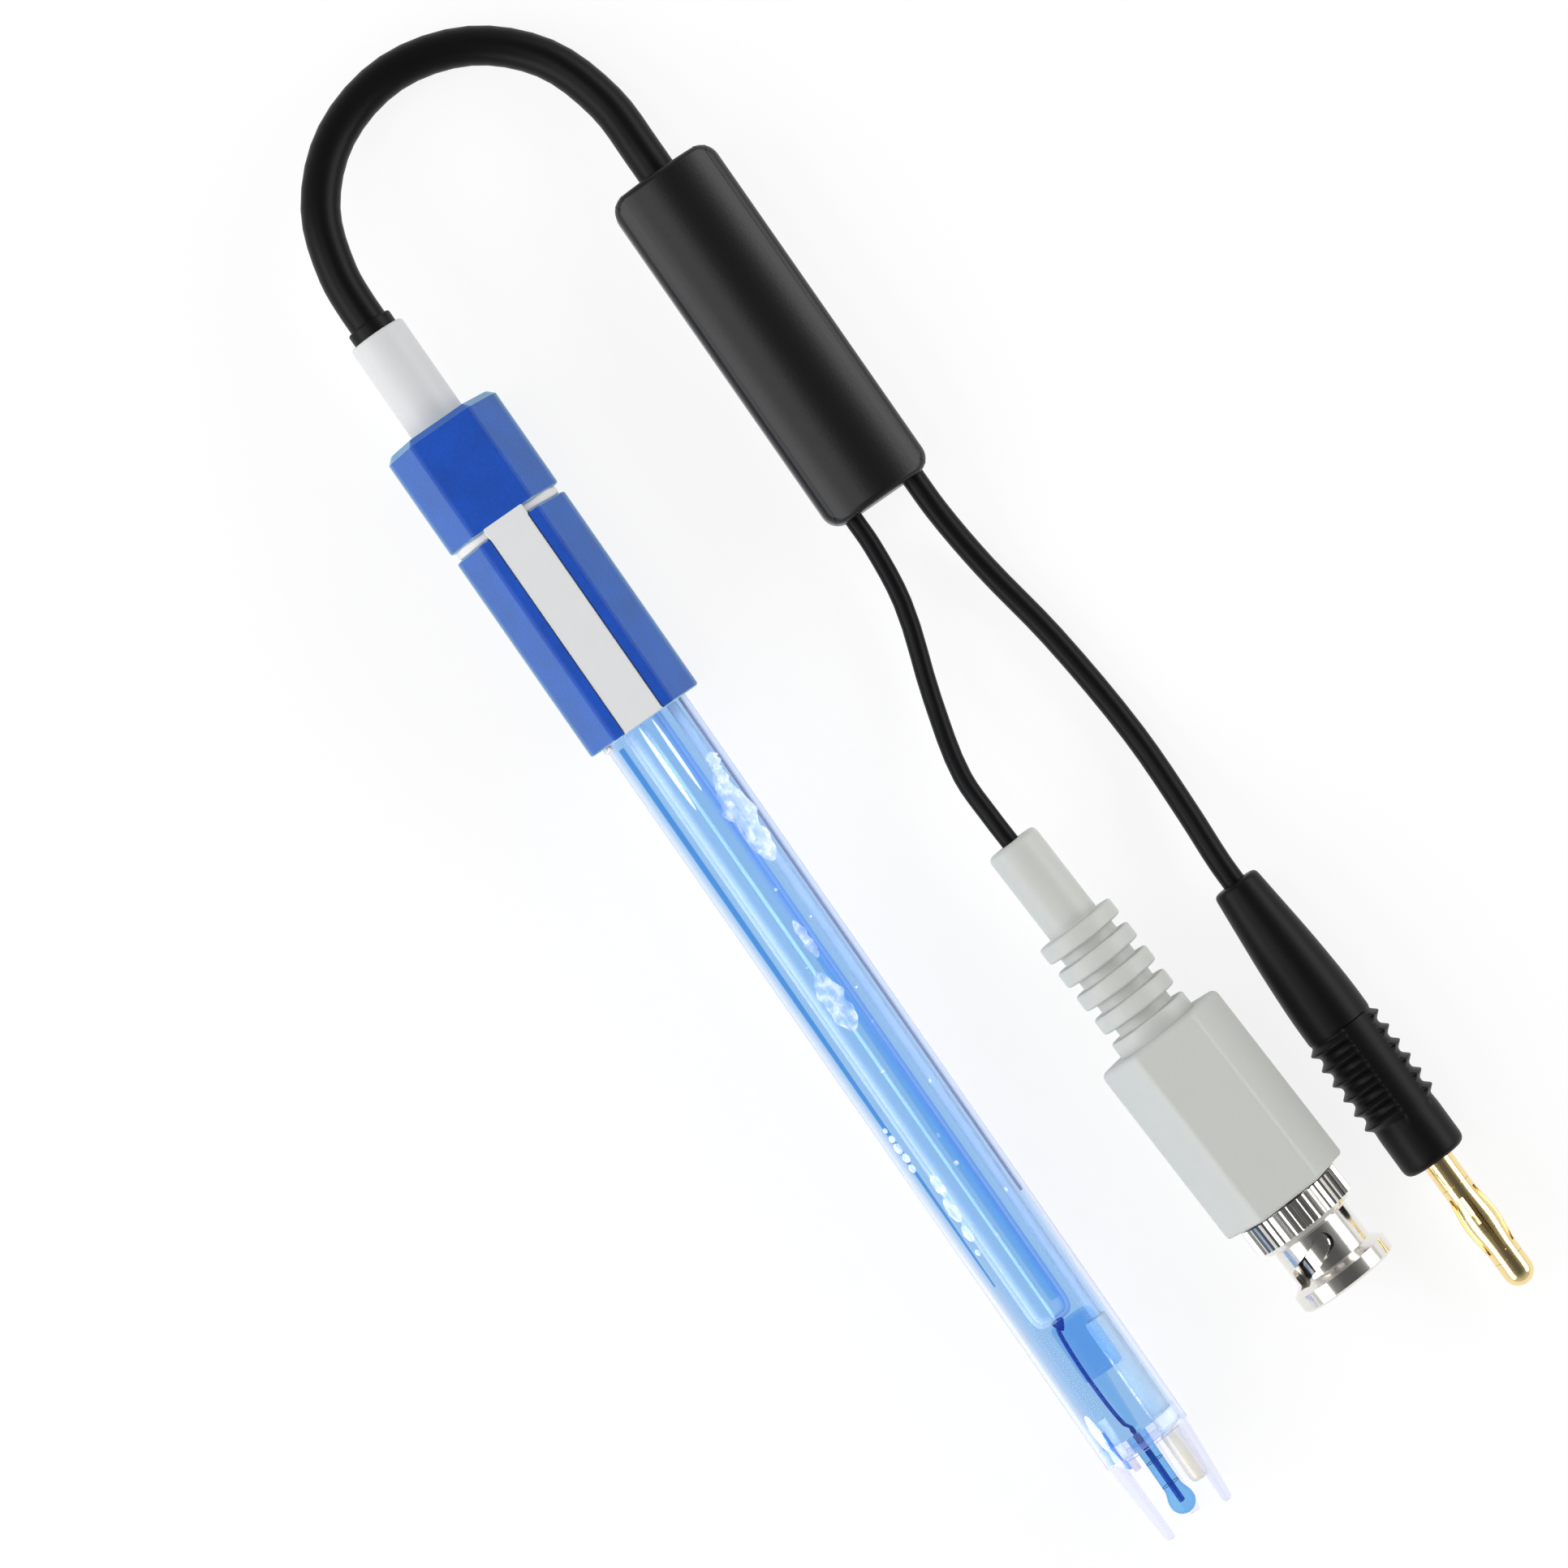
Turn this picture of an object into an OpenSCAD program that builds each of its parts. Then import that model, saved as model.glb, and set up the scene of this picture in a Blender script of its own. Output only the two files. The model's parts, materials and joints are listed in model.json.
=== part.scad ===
// Combination pH and temperature electrode with cable, splitter and two plugs.
// The electrode lies along X, head at -X and tip at +X, on the floor z = 0.

/* [Head] */
// Diameter of the rubber seal round the cable
seal_d = 6; // [5.6:0.1:6.4]
// Length of seal that shows above the sleeve
seal_show = 1.7; // [1:0.1:3]
// Diameter of the white cable sleeve
sleeve_d = 7.5; // [7.1:0.1:8.5]
// Length of sleeve that shows above the cap nut
sleeve_show = 13.5; // [10:0.5:18]
// Width across the flats of the hexagonal head
head_af = 15; // [14.7:0.1:16]
// Radius of the two side corners of the hexagon
side_round = 4.2; // [2:0.1:4.4]
// Radius of the other four corners
edge_round = 0.8; // [0.4:0.1:1.2]
// Length of the cap nut
cap_len = 14.3; // [12:0.1:18]
// Chamfer at the cable end of the cap nut
cap_chamfer = 1.1; // [0.6:0.1:1.4]
// Gap between cap nut and body, where the flange shows
flange_show = 1.2; // [0.8:0.1:2]
// Diameter of the flange
flange_d = 14.8; // [14:0.1:14.9]
// Length of the hexagonal body
body_len = 29.1; // [24:0.1:36]
// Chamfer at the other ends of the hexagonal mouldings
end_chamfer = 0.4; // [0.2:0.1:0.8]
// Width of the white stripe in the body
stripe_w = 5.7; // [4:0.1:6.5]

/* [Shaft] */
// Outer diameter of the shaft
shaft_d = 12; // [11.8:0.1:12]
// Wall of the shaft
shaft_wall = 1; // [0.8:0.1:1.2]
// Length from the body to the tips of the prongs
insertion_len = 120; // [110:1:130]
// Length of the crown of prongs
prong_len = 11.2; // [10:0.1:12]
// Number of prongs
prong_n = 3; // [3:1:4]
// Width of a prong
prong_w = 2.3; // [1.8:0.1:3]
// Diameter of the inner glass tube
inner_d = 5; // [4.4:0.1:5]
// Wall of the inner glass tube
inner_wall = 0.5; // [0.4:0.1:0.8]

/* [Sensors] */
// Diameter of the glass stem
stem_d = 2.4; // [2:0.1:2.8]
// Diameter of the glass bulb
bulb_d = 3.4; // [3:0.1:4]
// Wall of the stem and the bulb
glass_wall = 0.3; // [0.2:0.05:0.4]
// Distance of the bulb's end behind the prong tips
bulb_back = 1.1; // [0.8:0.1:3]
// Diameter of the temperature finger
finger_d = 2.7; // [2.4:0.1:3]
// Distance of the finger's end behind the prong tips
finger_back = 3.7; // [2:0.1:5]
// Diameter of the junction pin
junction_d = 1; // [0.8:0.1:1.2]
// Diameter of the fill plug
plug_d = 1.6; // [1.2:0.1:1.8]
// Diameter of the signal wire
wire_d = 0.8; // [0.6:0.1:1]

/* [Cable and splitter] */
// Diameter of the main cable
cable_d = 5; // [4.6:0.1:5.2]
// Diameter of the lead to the bayonet plug
coax_d = 2.4; // [2.2:0.1:2.6]
// Diameter of the lead to the banana plug
lead_d = 3; // [2.8:0.1:3.1]
// Length of the splitter
split_len = 49; // [44:1:54]
// Width of the splitter
split_w = 15; // [14:0.5:17]
// Height of the splitter
split_h = 10; // [9:0.5:12]
// Radius of the splitter's corners seen from above
split_round = 2.3; // [1.5:0.1:3]
// Distance between the two leads
lead_gap = 9; // [7:0.5:9.5]

/* [Bayonet plug] */
// Length of the grey moulding
boot_len = 55.4; // [54:0.1:57]
// Width across the flats of its hexagonal grip
grip_af = 15.6; // [15:0.1:17]
// Length of the grip
grip_len = 25.8; // [24:0.1:27]
// Diameter of the knurled end of the coupling nut
knurl_d = 14.2; // [14:0.1:14.6]
// Number of knurls
knurl_n = 44; // [36:2:52]
// Diameter of the barrel of the coupling nut
barrel_d = 10.9; // [10.7:0.1:11.3]
// Diameter of the front ring of the coupling nut
ring_d = 13.6; // [13:0.1:14]
// Outer diameter of the outer contact
contact_d = 8.1; // [8:0.05:8.2]
// Diameter of the centre pin
pin_d = 1.35; // [1.3:0.01:1.4]
// Travel of the coupling nut against its spring
nut_travel = 0.8; // [0.4:0.1:0.8]

/* [Banana plug] */
// Length of the rubber boot
grip2_len = 42.5; // [40:0.5:46]
// Diameter of the boot at the cable end
grip2_small = 6.2; // [5.8:0.1:6.8]
// Diameter of the boot at the pin end
grip2_big = 9; // [8.6:0.1:9.4]
// Diameter over the ribs
rib_d = 10.4; // [9.8:0.1:11]
// Number of ribs
rib_n = 6; // [4:1:6]
// Diameter of the pin
banana_d = 4; // [3.9:0.05:4]
// Length of the pin outside the boot
banana_len = 19; // [18:0.5:20]
// Diameter over the relaxed lantern spring
spring_d = 4.9; // [4.7:0.1:5.2]

/* [Hidden] */
$fn = 64;
// A small overlap that lets a cut pass through a face
eps = 0.05;

// Stations along the electrode, from the cable end of the seal
sleeve_at = seal_show;
cap_at = sleeve_at + sleeve_show;
flange_at = cap_at + cap_len;
body_at = flange_at + flange_show;
shaft_at = body_at + body_len;
tip_at = shaft_at + insertion_len;
tube_end = tip_at - prong_len;

// Inside the head
seal_len = 12;
collar_d = 12.4;
collar_len = 2.6;
collar_at = cap_at + 2.2;
neck_at = collar_at + collar_len;
neck_d = 13;
shaft_top = neck_at + 4.2;
spigot_step = 1;
spigot_d = shaft_d - spigot_step;
neck_end = shaft_at - 1.2;
potting_len = 10;
core_d = 1.4;

// Places of what runs down the shaft, across it: the axis of the bulb, the finger and the rest
bore_d = shaft_d - 2 * shaft_wall;
stem_y = -0.5;
inner_back = 18.8;
reference_back = 34.6;
finger_in = 16.5;
wire_back = 1.6;
finger_y = 3.1;
leads_y = 3.4;
leads_d = 1.2;
reference_y = 4.6;
reference_d = 0.4;
reference_end = tube_end - reference_back;
junction_y = -2.8;
junction_x = -1.6;
junction_out = 2;
plug_y = -3.3;
plug_x = 2.4;
inner_end = tube_end - inner_back;
bead_d = 1.8;
bead_len = 2.2;
disc_len = 3.4;
disc_at = tube_end - 0.4 - disc_len;
stem_at = disc_at - 4;
bulb_end = tip_at - bulb_back;
finger_at = tube_end - finger_in;
finger_end = tip_at - finger_back;
gel_at = shaft_top + potting_len;

// The electrode lies on the edge of its head and on the end of the tube
tilt = atan((head_af - shaft_d) / 2 / (tube_end - shaft_at + end_chamfer));
lie_z = head_af / 2 * cos(tilt) + (shaft_at - end_chamfer) * sin(tilt);
lie_x = -tip_at / 2 * cos(tilt);

// The splitter's cable end and its middle line
split_x = -85;
split_y = 40;
lead_z = split_h / 2;
entry = 12;
base_h = 1.6;

// Stations along the bayonet plug, from the cable end of its boot
bnc_x = 8;
bnc_y = 28.5;
bnc_turn = 3;
ferrule_at = 36;
ferrule_d = 5;
core_at = 45;
core_wall = 1.5;
core_tube_d = 9;
boot_thin_d = 7.1;
fin_d = 10.8;
fin_w = 2.3;
fin_pitch = 3.65;
fin_at = 12.8;
fin_core_d = 7.9;
grip_at = boot_len - grip_len;
nut_at = boot_len + 0.3;
knurl_len = 3.6;
nut_len = 12.7;
flange_back = nut_at + 2.3;
flange_front = flange_back + 1.4;
nut_bore_d = 9.8;
nut_rear_d = 11.6;
flange_fit = 0.1;
clip_d = 12.2;
clip_w = 0.6;
clip_at = nut_at + 0.3;
clip_play = 0.05;
contact_end = nut_at + 10.3;
stud_d = 2.3;
stud_hole_d = 2.7;
stud_at = nut_at + 6.5;
ramp_turn = 60;
ramp_n = 12;
dielectric_d = 6.4;

// Stations along the banana plug, from the cable end of its boot
ban_x = 28;
ban_y = 48.5;
ban_turn = 1.4;
cup_at = 30;
cup_len = 6;
rib_at = 23.2;
rib_pitch = 2.25;
spring_at = grip2_len + 3.8;
spring_len = 11.2;
spring_wall = 0.25;
spring_fit = 0.05;

// Routes of the cable and the leads, as points on their middle lines
main_route = [[-89, 0, 8.3], [-92, 0, 8.34], [-97, 0.4, 8.2], [-105, 3.2, 7.2], [-111.6, 10, 5.4],
    [-114.3, 20, 3.6], [-111.6, 30, 2.7], [-105, 36.8, 2.7], [-96, 39.8, 3.6], [-88, 40, 4.9],
    [-84, 40, 5], [-74, 40, 5]];
coax_route = [[-48, 35.5, 5], [-36, 35.5, 5], [-32, 35.5, 4.9], [-24, 34.6, 4], [-12, 30.8, 3.8],
    [-2, 28.3, 6.2], [4, 28.3, 7.7], [8, 28.5, 7.8], [54.4, 30.93, 7.8]];
lead_route = [[-48, 44.5, 5], [-36, 44.5, 5], [-31, 44.6, 4.6], [-22, 45.6, 2.2], [-10, 47.6, 1.7],
    [6, 49, 1.9], [18, 48.8, 3.8], [25, 48.45, 5.1], [28, 48.5, 5.2], [63, 49.36, 5.2]];

function unit(v) = v / norm(v);
// A point on the smooth curve from b to c that comes from a and goes on to d
function blend(a, b, c, d, t) =
    let (span = norm(c - b), start = c - b + unit(b - a) * span, finish = c - b + unit(d - c) * span)
    b + t * start / 2 + t * t * (3 * (c - b) - start - finish / 2)
        + t * t * t * (start / 2 + finish / 2 - 2 * (c - b));
// The first and last stretches of a route are straight, and n points go to each of the others
function along(route, n) = [
    route[0],
    for (i = [1 : len(route) - 3]) for (k = [0 : n - 1])
        blend(route[i - 1], route[i], route[i + 1], route[i + 2], k / n),
    route[len(route) - 2], route[len(route) - 1]];
function heading(line, i) = unit(line[min(i + 1, len(line) - 1)] - line[max(i - 1, 0)]);
function ring_at(c, t, r, sides) =
    let (side = unit(cross(t, [0, 0, 1])), up = cross(side, t))
    [for (j = [0 : sides - 1]) c + r * (cos(360 * j / sides) * side + sin(360 * j / sides) * up)];

// A cord of constant thickness along a route, closed at both ends
module cord(route, d, sides, n) {
    line = along(route, n);
    m = len(line);
    points = [for (i = [0 : m - 1]) each ring_at(line[i], heading(line, i), d / 2, sides)];
    skin = [for (i = [0 : m - 2]) for (j = [0 : sides - 1]) let (k = (j + 1) % sides)
        [i * sides + j, (i + 1) * sides + j, (i + 1) * sides + k, i * sides + k]];
    ends = [[for (j = [0 : sides - 1]) j], [for (j = [sides - 1 : -1 : 0]) (m - 1) * sides + j]];
    polyhedron(points, concat(skin, ends), convexity = 6);
}

// Outline of a hexagon with flats towards +X and -X, each corner an arc
function hexagon(af, side_r, edge_r) = [
    for (k = [0 : 5])
        let (c = 30 + 60 * k, r = (k % 3 == 1) ? side_r : edge_r, d = af / sqrt(3) - r / cos(30))
        for (s = [-30 : 10 : 30]) d * [cos(c), sin(c)] + r * [cos(c + s), sin(c + s)]];

// A hexagonal prism with a chamfer at each end
module hex_prism(af, side_r, edge_r, length, cut_0, cut_1) {
    outline = hexagon(af, side_r, edge_r);
    translate([0, 0, cut_0]) linear_extrude(length - cut_0 - cut_1) polygon(outline);
    translate([0, 0, cut_0]) mirror([0, 0, 1])
        linear_extrude(cut_0, scale = 1 - 2 * cut_0 / af) polygon(outline);
    translate([0, 0, length - cut_1]) linear_extrude(cut_1, scale = 1 - 2 * cut_1 / af) polygon(outline);
}

// A tube between two stations
module tube(outer, inner, from, to) {
    translate([0, 0, from]) difference() {
        cylinder(d = outer, h = to - from);
        translate([0, 0, -eps]) cylinder(d = inner, h = to - from + 2 * eps);
    }
}

module rod(d, from, to) {
    translate([0, 0, from]) cylinder(d = d, h = to - from);
}

// A rod across a slant, from one point to another
module slant(a, b, d) {
    v = b - a;
    translate(a) rotate([0, acos(v[2] / norm(v)), atan2(v[1], v[0])]) cylinder(d = d, h = norm(v), $fn = 24);
}

// The electrode's own axis, laid down on the floor
module lay() {
    translate([lie_x, 0, lie_z]) rotate([0, 90 + tilt, 0]) children();
}

module place_bnc() {
    translate([bnc_x, bnc_y, grip_af / 2]) rotate([0, 0, bnc_turn]) rotate([0, 90, 0]) children();
}

module place_banana() {
    translate([ban_x, ban_y, rib_d / 2]) rotate([0, 0, ban_turn]) rotate([0, 90, 0]) children();
}

// Black rubber seal, squeezed round the cable in the mouth of the sleeve
module cable_seal() {
    color([0.05, 0.05, 0.06]) lay() tube(seal_d, cable_d, 0, seal_len);
}

// White sleeve with a collar that the cap nut holds down
module cable_sleeve() {
    edge = 0.4;
    color([0.9, 0.9, 0.9]) lay() rotate_extrude() polygon([
        [seal_d / 2, sleeve_at], [sleeve_d / 2 - edge, sleeve_at], [sleeve_d / 2, sleeve_at + edge],
        [sleeve_d / 2, collar_at], [collar_d / 2, collar_at], [collar_d / 2, neck_at],
        [cable_d / 2, neck_at], [cable_d / 2, seal_len], [seal_d / 2, seal_len]]);
}

// Blue hexagonal cap nut
module cap_nut() {
    color([0.12, 0.31, 0.67]) lay() difference() {
        translate([0, 0, cap_at])
            hex_prism(head_af, side_round, edge_round, cap_len, cap_chamfer, end_chamfer);
        rod(sleeve_d, cap_at - eps, collar_at + eps);
        rod(neck_d, collar_at, flange_at + eps);
    }
}

// White insert: neck inside the nut, flange in the gap and stripe in the body's window
module head_insert() {
    color([0.88, 0.88, 0.88]) lay() difference() {
        union() {
            rod(neck_d, neck_at, neck_end);
            rod(flange_d, flange_at, body_at);
            intersection() {
                translate([0, 0, flange_at]) linear_extrude(shaft_at - flange_at)
                    polygon(hexagon(head_af - 0.1, side_round, edge_round));
                translate([-head_af, -stripe_w / 2, flange_at])
                    cube([head_af, stripe_w, shaft_at - flange_at]);
            }
        }
        rod(spigot_d, shaft_top, shaft_at + eps);
        rod(bore_d, neck_at - eps, shaft_top + eps);
    }
}

// Blue hexagonal body with the window for the stripe
module head_body() {
    color([0.12, 0.31, 0.67]) lay() difference() {
        translate([0, 0, body_at])
            hex_prism(head_af, side_round, edge_round, body_len, end_chamfer, end_chamfer);
        rod(neck_d, body_at - eps, neck_end);
        rod(spigot_d, neck_end - eps, shaft_at + eps);
        translate([-head_af, -stripe_w / 2, body_at - eps]) cube([head_af, stripe_w, body_len + 2 * eps]);
    }
}

// End of the cable's jacket in the head, with its cores fanned out to the shaft
module cable_cores() {
    color([0.15, 0.15, 0.16]) lay() {
        rod(cable_d, 1, neck_at);
        slant([0, 1.4, neck_at - 0.5], [0, leads_y - 0.2, shaft_top - 0.1], core_d);
        slant([-1.5, -0.3, neck_at - 0.5], [-1.2, reference_y - 1.2, shaft_top - 0.1], core_d);
    }
}

// Clear potting that closes the top of the shaft
module potting() {
    color([0.75, 0.72, 0.6]) lay() difference() {
        rod(bore_d, shaft_top, gel_at);
        translate([0, stem_y, 0]) rod(inner_d, shaft_top - eps, gel_at + eps);
        translate([0, leads_y, 0]) rod(leads_d, shaft_top - eps, gel_at + eps);
        translate([0, reference_y, 0]) rod(reference_d, shaft_top - eps, gel_at + eps);
    }
}

// Clear shaft with its crown of prongs, moulded in one piece; a shoulder stops it against the head
module shaft() {
    lean = 0.7;
    root = 1;
    prong_angle = prong_w / (shaft_d / 2) * 180 / PI;
    window = 360 / prong_n - prong_angle;
    reach = [for (k = [0 : 3]) shaft_d * [cos(k * window / 3), sin(k * window / 3)]];
    color([0.8, 0.88, 0.98, 0.5]) lay() difference() {
        rotate_extrude() polygon([
            [bore_d / 2, shaft_top], [spigot_d / 2, shaft_top], [spigot_d / 2, shaft_at],
            [shaft_d / 2, shaft_at], [shaft_d / 2, tube_end + root],
            [shaft_d / 2 - lean, tip_at], [(bore_d - lean) / 2, tip_at], [bore_d / 2, tube_end + root]]);
        for (i = [0 : prong_n - 1]) rotate([0, 0, 360 * i / prong_n + prong_angle / 2])
            translate([0, 0, tube_end]) linear_extrude(prong_len + root)
                polygon(concat([[0, 0]], reach));
    }
}

// Inner glass tube that carries the signal wire, with a rounded end
module inner_tube() {
    color([0.78, 0.87, 0.97, 0.6]) lay() translate([0, stem_y, 0]) difference() {
        union() {
            rod(inner_d, shaft_top, inner_end - inner_d / 2);
            translate([0, 0, inner_end - inner_d / 2]) sphere(d = inner_d);
        }
        rod(inner_d - 2 * inner_wall, shaft_top - eps, inner_end - inner_d / 2);
        translate([0, 0, inner_end - inner_d / 2]) sphere(d = inner_d - 2 * inner_wall);
        rod(wire_d, inner_end - inner_d / 2, inner_end + eps);
    }
}

// Signal wire from the cable to the bulb
module signal_wire() {
    color([0.08, 0.1, 0.3]) lay() translate([0, stem_y, 0]) rod(wire_d, neck_at, bulb_end - wire_back);
}

// Dark bead that seals the wire where it leaves the inner tube
module wire_bead() {
    color([0.06, 0.1, 0.35]) lay() translate([0, stem_y, 0]) difference() {
        translate([0, 0, inner_end]) {
            translate([0, 0, bead_len / 2]) sphere(d = bead_d, $fn = 32);
            rod(1.2, -0.05, bead_len);
        }
        rod(wire_d, inner_end - 1, inner_end + bead_len + 1);
        translate([0, 0, inner_end - inner_d / 2]) sphere(d = inner_d);
    }
}

// Silver reference wire in the gel
module reference_wire() {
    color([0.7, 0.7, 0.72]) lay() translate([0, reference_y, 0]) rod(reference_d, shaft_top, reference_end);
}

// Sheathed leads of the temperature sensor
module temperature_leads() {
    color([0.6, 0.58, 0.68]) lay() translate([0, leads_y, 0]) rod(leads_d, shaft_top, finger_at);
}

// Blue gel that fills the shaft round everything in it
module reference_gel() {
    color([0.35, 0.62, 0.93, 0.6]) lay() difference() {
        rod(bore_d, gel_at, disc_at);
        translate([0, stem_y, 0]) {
            rod(inner_d, gel_at - eps, inner_end - inner_d / 2);
            translate([0, 0, inner_end - inner_d / 2]) sphere(d = inner_d);
            translate([0, 0, inner_end + bead_len / 2]) sphere(d = bead_d, $fn = 32);
            rod(1.2, inner_end - 0.05, inner_end + bead_len);
            rod(wire_d, inner_end, disc_at + eps);
            rod(stem_d, stem_at, disc_at + eps);
        }
        translate([0, leads_y, 0]) rod(leads_d, gel_at - eps, finger_at + eps);
        translate([0, finger_y, 0]) rod(finger_d, finger_at, disc_at + eps);
        translate([0, reference_y, 0]) rod(reference_d, gel_at - eps, reference_end + eps);
        translate([junction_x, junction_y, 0]) rod(junction_d, disc_at - junction_out, disc_at + eps);
    }
}

// Disc that closes the end of the tube round the sensors
module end_disc() {
    color([0.85, 0.9, 0.97, 0.8]) lay() difference() {
        rod(bore_d, disc_at, disc_at + disc_len);
        translate([0, stem_y, 0]) rod(stem_d, disc_at - eps, tube_end);
        translate([0, finger_y, 0]) rod(finger_d, disc_at - eps, tube_end);
        translate([junction_x, junction_y, 0]) rod(junction_d, disc_at - eps, tube_end);
        translate([plug_x, plug_y, 0]) rod(plug_d, disc_at - eps, tube_end);
    }
}

// Half section of the bulb, made smaller all round by the wall for its inside
module bulb_shape(less) {
    mid = bulb_end - bulb_d / 2;
    rotate_extrude() intersection() {
        union() {
            translate([0, stem_at - (less > 0 ? eps : 0)]) square([stem_d / 2 - less, mid - stem_at + eps]);
            translate([0, mid]) circle(d = bulb_d - 2 * less);
        }
        translate([0, stem_at - 1]) square([bulb_d, bulb_end - stem_at + 2]);
    }
}

// Glass stem with its blown bulb
module glass_bulb() {
    color([0.7, 0.85, 1, 0.6]) lay() translate([0, stem_y, 0]) difference() {
        bulb_shape(0);
        bulb_shape(glass_wall);
    }
}

// Fill inside the stem and the bulb
module buffer_fill() {
    color([0.55, 0.75, 0.98, 0.6]) lay() translate([0, stem_y, 0]) difference() {
        bulb_shape(glass_wall);
        rod(wire_d, stem_at - 1, bulb_end - wire_back);
        rod(stem_d, stem_at - 1, stem_at);
    }
}

// Ivory capsule that holds the temperature sensor
module temperature_finger() {
    color([0.93, 0.91, 0.86]) lay() translate([0, finger_y, 0]) {
        rod(finger_d, finger_at, finger_end - finger_d / 2);
        translate([0, 0, finger_end - finger_d / 2]) sphere(d = finger_d);
    }
}

// Porous pin that joins the reference gel to the sample
module junction_pin() {
    color([0.9, 0.75, 0.72]) lay() translate([junction_x, junction_y, 0])
        rod(junction_d, disc_at - junction_out, tube_end + junction_out);
}

// Blue plug in the filling hole
module fill_plug() {
    color([0.2, 0.42, 0.8]) lay() translate([plug_x, plug_y, 0]) {
        rod(plug_d, disc_at, tube_end + 1.2);
        translate([0, 0, tube_end + 1.2]) sphere(d = plug_d, $fn = 32);
    }
}

module main_cable() {
    color([0.05, 0.05, 0.06]) cord(main_route, cable_d, 12, 3);
}

module bnc_lead() {
    color([0.05, 0.05, 0.06]) cord(coax_route, coax_d, 8, 2);
}

module banana_lead() {
    color([0.05, 0.05, 0.06]) cord(lead_route, lead_d, 8, 2);
}

// Outline of the splitter seen from above
module split_plan(less) {
    r = split_round - less;
    for (x = [split_round, split_len - split_round], y = [-1, 1])
        translate([x, y * (split_w / 2 - split_round)]) circle(r = r);
    translate([split_round, less - split_w / 2]) square([split_len - 2 * split_round, split_w - 2 * less]);
    translate([less, split_round - split_w / 2]) square([split_len - 2 * less, split_w - 2 * split_round]);
}

// Black shell of the splitter, rounded across its top
module splitter_shell() {
    crown = 11;
    color([0.07, 0.07, 0.08]) translate([split_x, split_y, 0]) difference() {
        intersection() {
            translate([0, 0, base_h]) linear_extrude(split_h - base_h) split_plan(0);
            translate([-1, 0, split_h - crown]) rotate([0, 90, 0]) cylinder(r = crown, h = split_len + 2);
        }
        translate([-1, 0, lead_z]) rotate([0, 90, 0]) cylinder(d = cable_d, h = entry + 1);
        for (side = [-1, 1]) translate([split_len - entry, side * lead_gap / 2, lead_z])
            rotate([0, 90, 0]) cylinder(d = side < 0 ? coax_d : lead_d, h = entry + 1);
        translate([entry, -split_w / 2 + 2, base_h - 1]) cube([split_len - 2 * entry, split_w - 4, 5.4]);
    }
}

// Light grey base of the splitter
module splitter_base() {
    color([0.7, 0.7, 0.7]) translate([split_x, split_y, 0]) linear_extrude(base_h) split_plan(0.3);
}

// Cores joined between the cable and the two leads
module wire_splices() {
    color([0.72, 0.45, 0.25]) translate([split_x, split_y, lead_z])
        for (side = [-1, 1])
            slant([entry - 0.8, side * 1.2, 0], [split_len - entry, side * lead_gap / 2, 0], core_d);
}

// Grey moulding over the plug: strain relief with fins, collar and hexagonal grip
module bnc_boot() {
    edge = 0.6;
    color([0.74, 0.75, 0.73]) place_bnc() difference() {
        union() {
            rod(boot_thin_d - 1, 0, 1);
            rod(boot_thin_d, 0.5, fin_at + fin_w);
            rod(fin_core_d, fin_at, grip_at + 1);
            for (i = [0 : 3]) rod(fin_d, fin_at + i * fin_pitch, fin_at + i * fin_pitch + fin_w);
            rod(fin_d + 0.2, fin_at + 4 * fin_pitch, grip_at + 1);
            translate([0, 0, grip_at]) hex_prism(grip_af, 1, 1, grip_len, edge, edge);
        }
        rod(coax_d, -eps, ferrule_at + eps);
        rod(ferrule_d, ferrule_at, core_at + eps);
        rod(core_tube_d, core_at, boot_len + eps);
    }
}

// Crimp ferrule on the braid of the coax
module crimp_ferrule() {
    color([0.75, 0.75, 0.76]) place_bnc() tube(ferrule_d, coax_d, ferrule_at, core_at);
}

// Turned body with its flange and the slotted outer contact
module bnc_body() {
    slot = 0.4;
    bore = contact_d - 1.1;
    color([0.82, 0.82, 0.82]) place_bnc() difference() {
        union() {
            rod(core_tube_d, core_at, flange_back);
            rod(nut_rear_d - 2 * flange_fit, flange_back, flange_front);
            rod(contact_d, flange_front - eps, contact_end);
        }
        rod(coax_d, core_at - eps, core_at + core_wall + eps);
        rod(dielectric_d, core_at + core_wall, flange_front);
        rod(bore, flange_front - 0.5, contact_end + eps);
        for (a = [45, 135]) rotate([0, 0, a])
            translate([-contact_d, -slot / 2, flange_front + 2]) cube([2 * contact_d, slot, contact_end]);
    }
}

// White insulator that carries the centre pin
module insulator() {
    color([0.95, 0.95, 0.93]) place_bnc() tube(dielectric_d, pin_d, core_at + core_wall, flange_front + 0.6);
}

// Gold centre pin with a rounded nose
module centre_pin() {
    color([0.85, 0.7, 0.35]) place_bnc() {
        rod(pin_d, core_at + core_wall + 0.1, contact_end - 1);
        translate([0, 0, contact_end - 1]) sphere(d = pin_d, $fn = 32);
    }
}

// Gasket against the flange, round the outer contact
module gasket() {
    color([0.75, 0.3, 0.2]) place_bnc() tube(9.5, contact_d, flange_front, flange_front + 0.9);
}

// Wave washer drawn as the ring it is when pressed flat
module spring_washer() {
    color([0.6, 0.6, 0.6]) place_bnc() tube(11, core_tube_d, flange_back - 0.5, flange_back);
}

// Split ring in the nut's groove
module retaining_ring() {
    gap = 2;
    color([0.6, 0.6, 0.6]) place_bnc() difference() {
        tube(clip_d, core_tube_d + 0.2, clip_at, clip_at + clip_w);
        translate([0, -gap / 2, clip_at - 1]) cube([clip_d, gap, clip_w + 2]);
    }
}

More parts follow.
